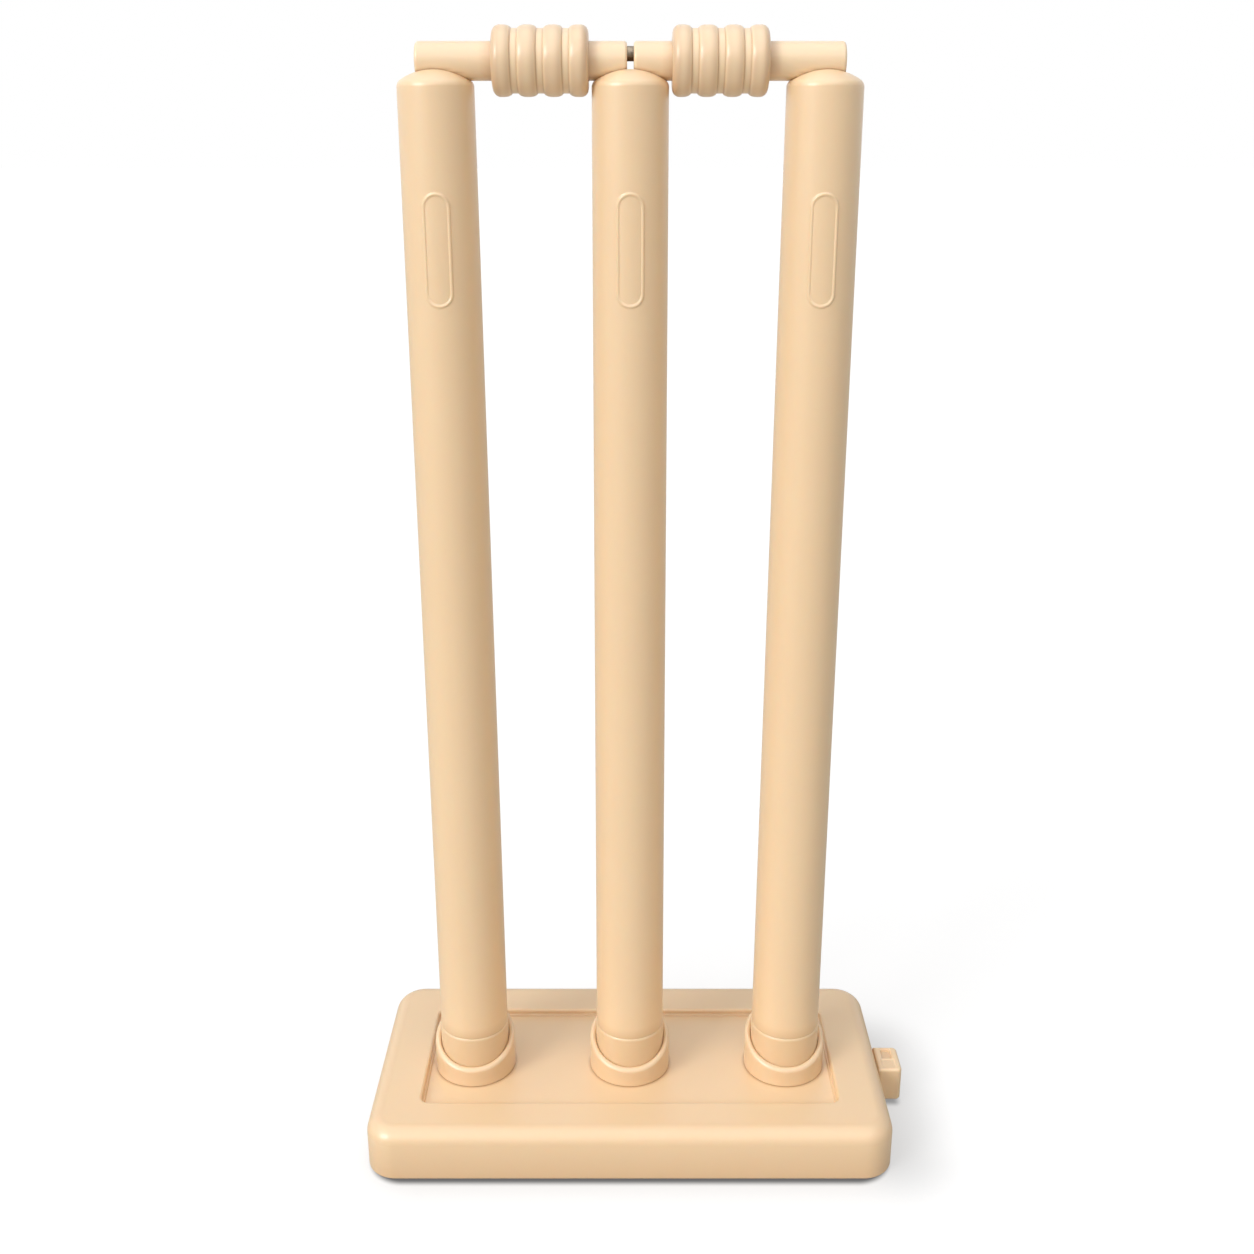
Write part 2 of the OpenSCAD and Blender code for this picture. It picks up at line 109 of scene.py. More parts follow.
def arc(x: float, y: float, r: float, start: float, end: float, steps: int = 10) -> Grid:
    """Points of a circular arc: centre plus r times the cosine and sine of an even run of angles.

    Args:
        x: Centre, first coordinate.
        y: Centre, second coordinate.
        r: Radius.
        start: First angle, in degrees.
        end: Last angle, in degrees.
        steps: Number of steps between the two.

    Returns:
        An array of points, one per row.
    """
    a = np.radians(np.linspace(start, end, steps + 1))
    return np.stack([x + r * np.cos(a), y + r * np.sin(a)], axis=1)


def path(*parts: Union[Grid, tuple[float, float]], hold: float = 0.12, longest: float = 40.0) -> Grid:
    """Joins points and arcs into one profile.

    Each straight run between two parts gets a point close to both its ends, so that smooth shading
    turns only in the arcs, and a long run is divided evenly.

    Args:
        parts: Single points and arrays of points, in order.
        hold: Distance of the extra points from the ends of a straight run.
        longest: Longest step along a straight run.

    Returns:
        The profile, one point per row.
    """
    rows = [np.atleast_2d(np.asarray(part, float)) for part in parts]
    out = [rows[0]]
    for before, after in zip(rows, rows[1:]):
        a, b = before[-1], after[0]
        length = float(np.hypot(*(b - a)))
        if length > 4 * hold:
            inner = np.linspace(hold, length - hold, max(2, int(length / longest) + 2)) / length
            out.append(a + (b - a) * inner[:, None])
        out.append(after if length > 1e-6 else after[1:])
    return np.concatenate(out)


def turning(profile: Grid, spread: float = 0.7) -> tuple[Grid, Grid]:
    """Tells how far a profile turns outwards or inwards near each of its points.

    The signed turn at each point is spread along the profile with a bell curve and divided by a
    quarter turn, so a square outer corner gives 1 and a square inner corner gives -1.

    Args:
        profile: Points in order, counter-clockwise round the material.
        spread: Width of the bell curve.

    Returns:
        The outward share and the inward share at each point, both from 0 to 1.
    """
    step = np.diff(profile, axis=0)
    heading = np.unwrap(np.arctan2(step[:, 1], step[:, 0]))
    turn = np.zeros(len(profile))
    turn[1:-1] = np.diff(heading)
    along = np.concatenate([[0], np.cumsum(np.hypot(step[:, 0], step[:, 1]))])
    bell = np.exp(-0.5 * ((along[:, None] - along[None, :]) / spread) ** 2)
    total = bell @ turn / (math.pi / 2)
    return np.clip(total, 0, 1), np.clip(-total, 0, 1)


@dataclass
class Patch:
    """A part of a surface: points in millimetres, faces, and two tints per point, one for painted highlight and one
    for painted shade.
    """

    points: Grid
    faces: list[tuple[int, ...]]
    edge_highlight: Grid
    crease_shade: Grid

    @classmethod
    def grid(
        cls, points: Grid, edge_highlight: Optional[Grid] = None, crease_shade: Optional[Grid] = None,
        skip: Optional[tuple[int, int]] = None,
    ) -> "Patch":
        """Makes quads over a grid of points that closes on itself along its second direction.

        Args:
            points: Array of rows, columns and coordinates.
            edge_highlight: Outward share per row, or per point, which is painted lighter as highlight.
            crease_shade: Inward share per row, or per point, which is painted darker as shade.
            skip: Row and column of one quad that is left out.

        Returns:
            The patch.
        """
        rows, cols = points.shape[:2]
        i, j = np.meshgrid(np.arange(rows - 1), np.arange(cols), indexing="ij")
        k = (j + 1) % cols
        quads = np.stack([i * cols + j, i * cols + k, (i + 1) * cols + k, (i + 1) * cols + j], axis=-1)
        if skip is not None:
            quads = np.delete(quads.reshape(-1, 4), skip[0] * cols + skip[1], axis=0)

        def spread_out(tint: Optional[Grid]) -> Grid:
            """One value per point, from a value per row."""
            if tint is None:
                return np.zeros(rows * cols)
            return np.broadcast_to(tint[:, None] if tint.ndim == 1 else tint, (rows, cols)).ravel()

        return cls(points.reshape(-1, 3), quads.reshape(-1, 4).tolist(), spread_out(edge_highlight), spread_out(crease_shade))

    @classmethod
    def flat(
        cls, outer: Grid, holes: list[Grid], lift: Callable[[Grid], Grid], crease_shade: float = 0.0
    ) -> "Patch":
        """Fills a flat outline that has holes with triangles.

        Args:
            outer: Outline, one flat point per row.
            holes: Outlines of the holes.
            lift: Gives the points in space for an array of flat points.
            crease_shade: Inward share of every point, which is painted darker as shade.

        Returns:
            The patch.
        """
        loops = [outer, *holes]
        starts = np.cumsum([0] + [len(loop) for loop in loops])
        edges = [
            (int(start + i), int(start + (i + 1) % len(loop)))
            for start, loop in zip(starts, loops)
            for i in range(len(loop))
        ]
        flat = [Vector(p) for p in np.concatenate(loops).tolist()]
        found, _, triangles, *_ = delaunay_2d_cdt(flat, edges, [], 1, 1e-5)
        found = np.array([tuple(p) for p in found])
        triangles = np.array([tuple(t) for t in triangles])
        centres = found[triangles].mean(axis=1)
        keep = np.ones(len(triangles), bool)
        for hole in holes:
            middle = hole.mean(axis=0)
            reach = np.hypot(*(hole - middle).T).min()
            keep &= np.hypot(*(centres - middle).T) > reach * 0.999
        tint = np.full(len(found), crease_shade)
        return cls(lift(found), triangles[keep].tolist(), tint * 0, tint)


def build(name: str, patches: list[Patch], body: str, finish: bpy.types.Material) -> bpy.types.Object:
    """Welds patches into one mesh object that rides on a body.

    Args:
        name: Name of the piece.
        patches: Its surfaces.
        body: Body that it rides on.
        finish: Its material.

    Returns:
        The new object.
    """
    starts = np.cumsum([0] + [len(p.points) for p in patches])
    points = np.concatenate([p.points for p in patches]) * MM
    faces = [tuple(int(v + start) for v in face) for p, start in zip(patches, starts) for face in p.faces]
    mesh = bpy.data.meshes.new(name)
    mesh.from_pydata(points.tolist(), [], faces)
    for tag in ("edge_highlight", "crease_shade"):
        layer = mesh.attributes.new(tag, "FLOAT", "POINT")
        layer.data.foreach_set("value", np.concatenate([getattr(p, tag) for p in patches]).astype(np.float32))
    edit = bmesh.new()
    edit.from_mesh(mesh)
    bmesh.ops.remove_doubles(edit, verts=edit.verts, dist=MERGE)
    bmesh.ops.dissolve_degenerate(edit, edges=edit.edges, dist=MERGE / 10)
    bmesh.ops.recalc_face_normals(edit, faces=edit.faces)
    edit.to_mesh(mesh)
    edit.free()
    mesh.polygons.foreach_set("use_smooth", np.ones(len(mesh.polygons), bool))
    mesh.set_sharp_from_angle(angle=SHARP)
    mesh.materials.append(finish)
    piece = bpy.data.objects.new(name, mesh)
    bpy.context.scene.collection.objects.link(piece)
    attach(piece, body)
    log.info("%s: %d faces, rides on %s", name, len(mesh.polygons), body)
    return piece


def around(radius: Grid, height: Grid, centre: np.ndarray, turns: Grid) -> Grid:
    """Carries a profile round an upright axis.

    Each point is the axis plus the radius times the cosine and sine of the angle, at its height.

    Args:
        radius: Radius, per row or per row and angle.
        height: Height, per row or per row and angle.
        centre: Where the axis stands on X and Y.
        turns: Angles, in radians.

    Returns:
        A grid of points in space.
    """
    shape = (len(radius), len(turns))
    r = np.broadcast_to(radius[:, None] if radius.ndim == 1 else radius, shape)
    z = np.broadcast_to(height[:, None] if height.ndim == 1 else height, shape)
    return np.stack([centre[0] + r * np.cos(turns), centre[1] + r * np.sin(turns), z], axis=-1)


def along_x(radius: Grid, distance: Grid, axis: np.ndarray, turns: Grid) -> Grid:
    """Carries a profile round a level axis that runs along X.

    Args:
        radius: Radius of each row.
        distance: Place of each row along X.
        axis: The axis's Y and Z.
        turns: Angles, in radians.

    Returns:
        A grid of points in space.
    """
    r = radius[:, None]
    x = np.broadcast_to(distance[:, None], (len(radius), len(turns)))
    return np.stack([x, axis[0] + r * np.cos(turns), axis[1] + r * np.sin(turns)], axis=-1)


def full_turn(steps: int) -> Grid:
    """Even angles round a circle, without the last one, which is the first again."""
    return np.linspace(0, 2 * math.pi, steps, endpoint=False)


class Socket:
    """One output of a node, on which Python's operators add Math nodes."""

    def __init__(self, tree: "Tree", link: bpy.types.NodeSocket) -> None:
        """Holds the output and the tree that it belongs to."""
        self.tree = tree
        self.link = link

    def _math(self, kind: str, *values: "Value") -> "Socket":
        """Adds a Math node of a kind and returns its result."""
        return self.tree.node("ShaderNodeMath", {"operation": kind}, dict(enumerate(values)))

    def __add__(self, other: "Value") -> "Socket":
        """Sum."""
        return self._math("ADD", self, other)

    __radd__ = __add__

    def __mul__(self, other: "Value") -> "Socket":
        """Product."""
        return self._math("MULTIPLY", self, other)

    __rmul__ = __mul__

    def __sub__(self, other: "Value") -> "Socket":
        """Difference."""
        return self._math("SUBTRACT", self, other)

    def __rsub__(self, other: "Value") -> "Socket":
        """Difference, the other way round."""
        return self._math("SUBTRACT", other, self)

    def __truediv__(self, other: "Value") -> "Socket":
        """Quotient."""
        return self._math("DIVIDE", self, other)

    def __pow__(self, other: "Value") -> "Socket":
        """Power."""
        return self._math("POWER", self, other)

    def __abs__(self) -> "Socket":
        """Distance from zero."""
        return self._math("ABSOLUTE", self)

    def most(self, other: "Value") -> "Socket":
        """The larger of two values."""
        return self._math("MAXIMUM", self, other)

    def ramp(self, low: float, high: float, smooth: bool = True) -> "Socket":
        """Goes from 0 at low to 1 at high, and stays there."""
        settings = {"interpolation_type": "SMOOTHSTEP" if smooth else "LINEAR", "clamp": True}
        return self.tree.node("ShaderNodeMapRange", settings, {0: self, 1: low, 2: high, 3: 0.0, 4: 1.0})

    def wave(self) -> "Socket":
        """Sine of the value."""
        return self._math("SINE", self)


Value = Union[float, tuple, Socket]


class Tree:
    """Node tree of one material or world, with the few moves that the finishes need."""

    def __init__(self, owner: Union[bpy.types.Material, bpy.types.World]) -> None:
        """Empties the owner's node tree."""
        owner.use_nodes = True
        self.tree = owner.node_tree
        self.tree.nodes.clear()

    def node(
        self, kind: str, settings: Optional[dict] = None, inputs: Optional[dict] = None, out: Union[int, str] = 0
    ) -> Socket:
        """Adds any node.

        Args:
            kind: Type of the node.
            settings: Its properties, which are set first.
            inputs: Values or links of its sockets, by index or name.
            out: Which output is returned.

        Returns:
            The output.
        """
        made = self.tree.nodes.new(kind)
        for key, value in (settings or {}).items():
            setattr(made, key, value)
        for key, value in (inputs or {}).items():
            if isinstance(value, Socket):
                self.tree.links.new(value.link, made.inputs[key])
            else:
                made.inputs[key].default_value = value
        return Socket(self, made.outputs[out])

    def place(self) -> Socket:
        """Object coordinates, in metres."""
        return self.node("ShaderNodeTexCoord", out="Object")

    def scaled(self, point: Socket, scale: tuple[float, float, float]) -> Socket:
        """A point with each coordinate multiplied by its own number."""
        return self.node("ShaderNodeVectorMath", {"operation": "MULTIPLY"}, {0: point, 1: scale})

    def part(self, point: Socket, axis: str) -> Socket:
        """One coordinate of a point."""
        return self.node("ShaderNodeSeparateXYZ", inputs={0: point}, out=axis)

    def noise(self, point: Socket, scale: float, detail: float = 2.0, rough: float = 0.5) -> Socket:
        """Soft noise about 0.5, with a scale per metre."""
        inputs = {"Vector": point, "Scale": scale, "Detail": detail, "Roughness": rough}
        return self.node("ShaderNodeTexNoise", {}, inputs)

    def tint(self, name: str) -> Socket:
        """A number stored on the mesh's points."""
        return self.node("ShaderNodeAttribute", {"attribute_name": name}, out="Fac")

    def blend(self, share: Value, first: Value, second: Value) -> Socket:
        """Mixes two colours by a share from 0 to 1."""
        settings = {"data_type": "RGBA", "clamp_factor": True}
        return self.node("ShaderNodeMix", settings, {0: share, 6: first, 7: second}, out=2)

    def bump(self, height: Socket, distance: float, strength: float = 1.0) -> Socket:
        """Turns a height into a normal; the distance is in metres."""
        inputs = {"Height": height, "Distance": distance, "Strength": strength}
        return self.node("ShaderNodeBump", {}, inputs)

    def finish(self, shader: Socket, kind: str = "ShaderNodeOutputMaterial") -> None:
        """Adds the output node and links a shader to it."""
        made = self.tree.nodes.new(kind)
        self.tree.links.new(shader.link, made.inputs["Surface"])


def srgb(r: float, g: float, b: float) -> tuple[float, float, float, float]:
    """A colour written as 0 to 255 on a screen, as the linear colour that the nodes take."""
    c = np.array([r, g, b]) / 255
    linear = np.where(c <= 0.04045, c / 12.92, ((c + 0.055) / 1.055) ** 2.4)
    return (*(float(v) for v in linear), 1.0)


@dataclass(frozen=True)
class Plastic:
    """Moulded cream plastic with a satin skin, with painted highlight along its outer edges and painted shade in its
    corners.
    """

    name: str
    colour: Colour = (246, 215, 175)
    # Colour of the painted highlight on outer edges
    edge: Colour = (250, 222, 184)
    # Colour of the painted shade in corners, creases and hollows
    corner: Colour = (172, 122, 70)
    rough: float = 0.48
    scatter: tuple[float, float, float] = (2.4, 1.3, 0.7)
    depth: float = 0.25
    streaks: bool = False
    seam_y: Optional[float] = None

    def make(self) -> bpy.types.Material:
        """Builds the material.

        Returns:
            The material.
        """
        material = bpy.data.materials.new(self.name)
        t = Tree(material)
        place = t.place()
        cloud = t.noise(place, 14.0, 3.0)
        mottle = t.noise(place, 160.0, 2.0)
        tone = (cloud - 0.5) * 0.5 + (mottle - 0.5) * 0.25
        if self.streaks:
            tone = tone + (t.noise(t.scaled(place, (1.0, 1.0, 0.02)), 170.0, 2.0) - 0.5) * 0.5
        base = t.blend(tone * 0.5 + 0.5, srgb(*(c * 0.975 for c in self.colour)),
                       srgb(*(min(255, c * 1.018) for c in self.colour)))
        # Painted highlight along outer edges
        base = t.blend(t.tint("edge_highlight").ramp(0.0, 1.0, False) * 0.5, base, srgb(*self.edge))
        # Painted shade in corners, creases and hollows
        base = t.blend(t.tint("crease_shade").ramp(0.02, 0.9, False) * 0.7, base, srgb(*self.corner))
        peel = t.noise(place, 900.0, 2.0, 0.55)
        sway = t.noise(place, 45.0, 1.0)
        height = peel * 0.35 + sway * 2.0
        if self.seam_y is not None:
            offset = abs(t.part(place, "Y") - self.seam_y * MM)
            height = height + (1.0 - offset.ramp(0.0, 0.35 * MM)) * 2.5
        shader = t.node("ShaderNodeBsdfPrincipled", {}, {
            "Base Color": base,
            "Roughness": (mottle - 0.5) * 0.12 + (cloud - 0.5) * 0.1 + self.rough,
            "Normal": t.bump(height, 0.03 * MM),
            "IOR": 1.49,
            "Specular IOR Level": 0.35,
            "Subsurface Weight": self.depth,
            "Subsurface Radius": self.scatter,
            "Subsurface Scale": MM,
            "Coat Weight": 0.85,
            "Coat Roughness": 0.33,
            "Coat IOR": 1.7,
        })
        t.finish(shader)
        return material


@dataclass(frozen=True)
class Steel:
    """Drawn steel with fine lines round the axis X and a dull brown cast."""

    name: str = "drawn_steel"
    colour: Colour = (150, 138, 122)

    def make(self) -> bpy.types.Material:
        """Builds the material.

        Returns:
            The material.
        """
        material = bpy.data.materials.new(self.name)
        t = Tree(material)
        place = t.place()
        lines = t.noise(t.scaled(place, (1.0, 0.15, 0.15)), 9000.0, 2.0)
        stain = t.noise(place, 500.0, 3.0)
        base = t.blend(stain.ramp(0.4, 0.75), srgb(*self.colour), srgb(*(c * 0.72 for c in self.colour)))
        t.finish(t.node("ShaderNodeBsdfPrincipled", {}, {
            "Base Color": base,
            "Metallic": 1.0,
            "Roughness": lines * 0.2 + 0.28,
            "Normal": t.bump(lines, 0.01 * MM),
        }))
        return material


@dataclass(frozen=True)
class Rubber:
    """Dark matt rubber with a fine grain and cross ribs on what it stands on."""

    name: str = "grip_rubber"
    colour: Colour = (52, 51, 53)
    rib: float = 3.0

    def make(self) -> bpy.types.Material:
        """Builds the material.

        Returns:
            The material.
        """
        material = bpy.data.materials.new(self.name)
        t = Tree(material)
        place = t.place()
        grain = t.noise(place, 2500.0, 3.0)
        dust = t.noise(place, 90.0, 4.0)
        ribs = (t.part(place, "Y") * (2 * math.pi / (self.rib * MM))).wave().ramp(-0.4, 0.4)
        base = t.blend(dust.ramp(0.45, 0.8) * 0.5, srgb(*self.colour), srgb(96, 92, 88))
        t.finish(t.node("ShaderNodeBsdfPrincipled", {}, {
            "Base Color": base,
            "Roughness": grain * 0.2 + 0.68,
            "Normal": t.bump(ribs * 6.0 + grain * 0.6, 0.06 * MM),
        }))
        return material


@dataclass(frozen=True)
class Sand:
    """Dry yellow sand with single darker grains."""

    name: str = "dry_sand"
    colour: Colour = (206, 178, 130)

    def make(self) -> bpy.types.Material:
        """Builds the material.

        Returns:
            The material.
        """
        material = bpy.data.materials.new(self.name)
        t = Tree(material)
        place = t.place()
        grain = t.node("ShaderNodeTexVoronoi", {}, {"Vector": place, "Scale": 1400.0}, "Distance")
        speck = t.noise(place, 1100.0, 1.0)
        base = t.blend(speck.ramp(0.6, 0.68), srgb(*self.colour), srgb(128, 100, 70))
        t.finish(t.node("ShaderNodeBsdfPrincipled", {}, {
            "Base Color": base,
            "Roughness": speck * 0.1 + 0.85,
            "Normal": t.bump(grain, 0.4 * MM),
        }))
        return material


@dataclass(frozen=True)
class Finishes:
    """The materials of the set, made once and shared."""

    base: bpy.types.Material
    stump: bpy.types.Material
    boot: bpy.types.Material
    collar: bpy.types.Material
    bail: bpy.types.Material
    steel: bpy.types.Material
    rubber: bpy.types.Material
    sand: bpy.types.Material

    @classmethod
    def make(cls, row_y: float) -> "Finishes":
        """Makes every finish.

        Args:
            row_y: Where the row of stumps stands, which is the plane of their mould seam.

        Returns:
            The finishes.
        """
        return cls(
            base=Plastic("base_plastic").make(),
            stump=Plastic("stump_plastic", streaks=True, seam_y=row_y).make(),
            # Boots and collars are darker copies of the plastic as painted shade, and the bails a lighter copy as
            # painted light
            boot=Plastic("boot_plastic", colour=(234, 201, 160)).make(),
            collar=Plastic("collar_plastic_shaded", colour=(233, 202, 163)).make(),
            bail=Plastic("bail_plastic", colour=(250, 222, 186)).make(),
            steel=Steel().make(),
            rubber=Rubber().make(),
            sand=Sand().make(),
        )


@dataclass(frozen=True)
class Base:
    """Upper casing of the base, with its sunken deck, and the plain pieces below it."""

    corner_r: float = 18.0
    top_edge_r: float = 9.6
    low_edge_r: float = 1.2
    skin: float = 3.5
    rim_side: float = 30.3
    rim_front: float = 28.4
    rim_back: float = 30.7
    step_1: float = 3.3
    step_2: float = 1.2
    step_ledge: float = 1.2
    deck_corner_r: float = 5.0
    lip_r: float = 1.8
    step_r: float = 0.55
    hole_r: float = 23.4
    ring_r: float = 26.4
    port_r: float = 6.3
    boss_r: float = 8.9
    boss_end: float = 12.0
    window: float = 9.3
    corner_steps: int = 14
    hole_steps: int = 96

    def _outline(self, half: tuple[float, float], r: float, mid_y: float, port_y: float) -> Grid:
        """Rounded rectangle with as many points whatever its size.

        Args:
            half: Half its width and half its depth.
            r: Radius of its corners.
            mid_y: Where its middle lies on Y.
            port_y: Where the filling hole lies, between two points of the right side.

        Returns:
            The outline, counter-clockwise from the front end of its right side.
        """
        x, y = half[0] - r, half[1] - r
        steps = self.corner_steps
        stops = np.clip((np.array([port_y - self.window, port_y + self.window]) - mid_y), -0.9 * y, 0.9 * y)
        third = np.linspace(-x, x, 5)[1:-1]
        rows = [
            np.stack([np.full(2, half[0]), stops], axis=1),
            arc(x, y, r, 0, 90, steps),
            np.stack([third[::-1], np.full(3, half[1])], axis=1),
            arc(-x, y, r, 90, 180, steps),
            np.stack([np.full(2, -half[0]), stops[::-1]], axis=1),
            arc(-x, -y, r, 180, 270, steps),
            np.stack([third, np.full(3, -half[1])], axis=1),
            arc(x, -y, r, 270, 360, steps),
        ]
        return np.concatenate(rows) + np.array([0, mid_y])

    def make(self, finishes: Finishes) -> None:
        """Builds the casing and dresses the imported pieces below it.

        Args:
            finishes: The materials.
        """
        box = Extent.of("base_shell")
        half = box.size[:2] / 2
        low, top = box.low[2], box.high[2]
        cups = [Extent.of(f"socket_{side.tag}").middle[:2] for side in Side]
        port = Extent.of("cap_seal").middle[1:]
        deck_z = top - self.step_1 - self.step_2
        under = deck_z - self.skin
        mid_y = (self.rim_front - self.rim_back) / 2
        deck = np.array([half[0] - self.rim_side, half[1] - (self.rim_front + self.rim_back) / 2])

        # Cross-section from the lower edge up the side to the rim: how far in, and how high
        side = path(
            (self.skin, low),
            arc(self.low_edge_r, low + self.low_edge_r, self.low_edge_r, -90, -180, 8),
            arc(self.top_edge_r, top - self.top_edge_r, self.top_edge_r, 180, 90, 18),
            (self.top_edge_r + 2.0, top),
            longest=60.0,
        )
        edge_highlight, crease_shade = turning(side[:, ::-1] * (1, -1))
        rows = [self._loop(half - inset, self.corner_r - inset, 0.0, z, port[0]) for inset, z in side]
        wall_row = int(np.argmax(np.diff(side[:, 1])))
        patches = [Patch.grid(np.stack(rows), edge_highlight, crease_shade, skip=(wall_row, 0))]

        # Cross-section of the sunken deck's edge: how far in from the rim's inner edge, and how high
        r, s = self.lip_r, self.step_r
        ledge_z = top - self.step_1
        edge = path(
            (-3.0, top),
            arc(-r, top - r, r, 90, 0, 10),
            arc(s, ledge_z + s, s, 180, 270, 5),
            arc(self.step_ledge - s, ledge_z - s, s, 90, 0, 5),
            arc(self.step_ledge + s, deck_z + s, s, 180, 270, 5),
            (self.step_ledge + s + 0.4, deck_z),
        )
        # A soft band of painted shade over the wall, which fades out on the rim and on the deck, and is half as
        # strong at the right end
        crease_shade = 0.4 * np.clip(1 - ((edge[:, 0] - 0.8) / 1.4) ** 2, 0, 1)
        rim = [self._loop(deck - d, max(self.deck_corner_r - d, 1.5), mid_y, z, port[0]) for d, z in edge]
        joint = np.stack([rows[-1], rim[0]])
        strength = np.where(rim[0][:, 0] > deck[0] - self.deck_corner_r, 0.5, 1.0)
        patches += [Patch.grid(joint), Patch.grid(np.stack(rim), crease_shade=crease_shade[:, None] * strength)]

        # Deck: a flat fill, and a ring round each hole, which turns down into the hole
        turns = full_turn(self.hole_steps)
        rings = [around(np.array([self.ring_r]), np.array([deck_z]), c, turns)[0] for c in cups]
        patches.append(Patch.flat(rim[-1][:, :2], [g[:, :2] for g in rings],
                                  lambda p: np.column_stack([p, np.full(len(p), deck_z)])))
        hole = path((self.ring_r, deck_z), (self.hole_r + 0.9, deck_z), (self.hole_r, deck_z), (self.hole_r, under))
        shade = 0.8 * np.clip(1 - (hole[:, 0] - self.hole_r - 0.9) / 0.9, 0, 1) ** 2
        patches += [Patch.grid(around(hole[:, 0], hole[:, 1], c, turns), crease_shade=shade) for c in cups]

        # Inside: wall and ceiling, with the filling hole's boss
        inner = [self._loop(half - self.skin, self.corner_r - self.skin, 0.0, z, port[0]) for z in (low, under)]
        patches.append(Patch.grid(np.stack(inner), skip=(0, 0)))
        ceiling = [around(np.array([self.hole_r]), np.array([under]), c, turns)[0][:, :2] for c in cups]
        patches.append(Patch.flat(inner[-1][:, :2], ceiling,
                                  lambda p: np.column_stack([p, np.full(len(p), under)])))
        patches += self._filling_hole(half[0], side[wall_row:wall_row + 2, 1], (low, under), port)
        casing = build("base_casing", patches, "base", finishes.base)
        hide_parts("base_shell")
        self._dress(finishes)

    def _loop(self, half: np.ndarray, r: float, mid_y: float, z: float, port_y: float) -> Grid:
        """The outline at one height, as points in space."""
        flat = self._outline((float(half[0]), float(half[1])), r, mid_y, port_y)
        return np.column_stack([flat, np.full(len(flat), z)])

    def _filling_hole(self, side_x: float, wall: Grid, inside: tuple[float, float], port: Grid) -> list[Patch]:
        """The two windows in the right wall, and the boss between and behind them.

        Args:
            side_x: Where the base's right side lies.
            wall: Lowest and highest Z of the outer window.
            inside: Lowest and highest Z of the inner window.
            port: The filling hole's Y and Z.

        Returns:
            The patches.
        """
        turns = full_turn(48)
        ring = np.stack([np.cos(turns), np.sin(turns)], axis=1)
        inner_x, end_x = side_x - self.skin, side_x - self.boss_end

        def window(x: float, span: Grid, r: float) -> Patch:
            """A flat piece of wall at x with a round hole in it."""
            y0, y1 = port[0] - self.window, port[0] + self.window
            corners = np.array([(y0, span[0]), (y1, span[0]), (y1, span[1]), (y0, span[1])])
            return Patch.flat(corners, [port + r * ring], lambda p: np.column_stack([np.full(len(p), x), p]))

        bore = path((self.boss_r, inner_x), (self.boss_r, end_x), (self.port_r, end_x), (self.port_r, side_x))
        return [
            window(side_x, wall, self.port_r),
            window(inner_x, np.array(inside), self.boss_r),
            Patch.grid(along_x(bore[:, 0], bore[:, 1], port, turns)),
        ]

    def _dress(self, finishes: Finishes) -> None:
        """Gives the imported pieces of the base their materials."""
        looks = {
            "base_plate": finishes.base, "base_gasket": finishes.rubber,
            "cover_screws": finishes.steel, "sand_fill": finishes.sand,
        }
        for side in Side:
            looks[f"grip_strip_{side.tag}"] = finishes.rubber
            looks[f"socket_washer_{side.tag}"] = finishes.rubber
            looks[f"socket_nut_{side.tag}"] = finishes.base
        for node, finish in looks.items():
            dress(node, finish)


def dress(node: str, finish: bpy.types.Material) -> None:
    """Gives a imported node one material.

    Args:
        node: Name of the node.
        finish: The material.
    """
    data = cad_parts[node].data
    data.materials.clear()
    data.materials.append(finish)
    log.info("%s: packed piece with %s", node, finish.name)


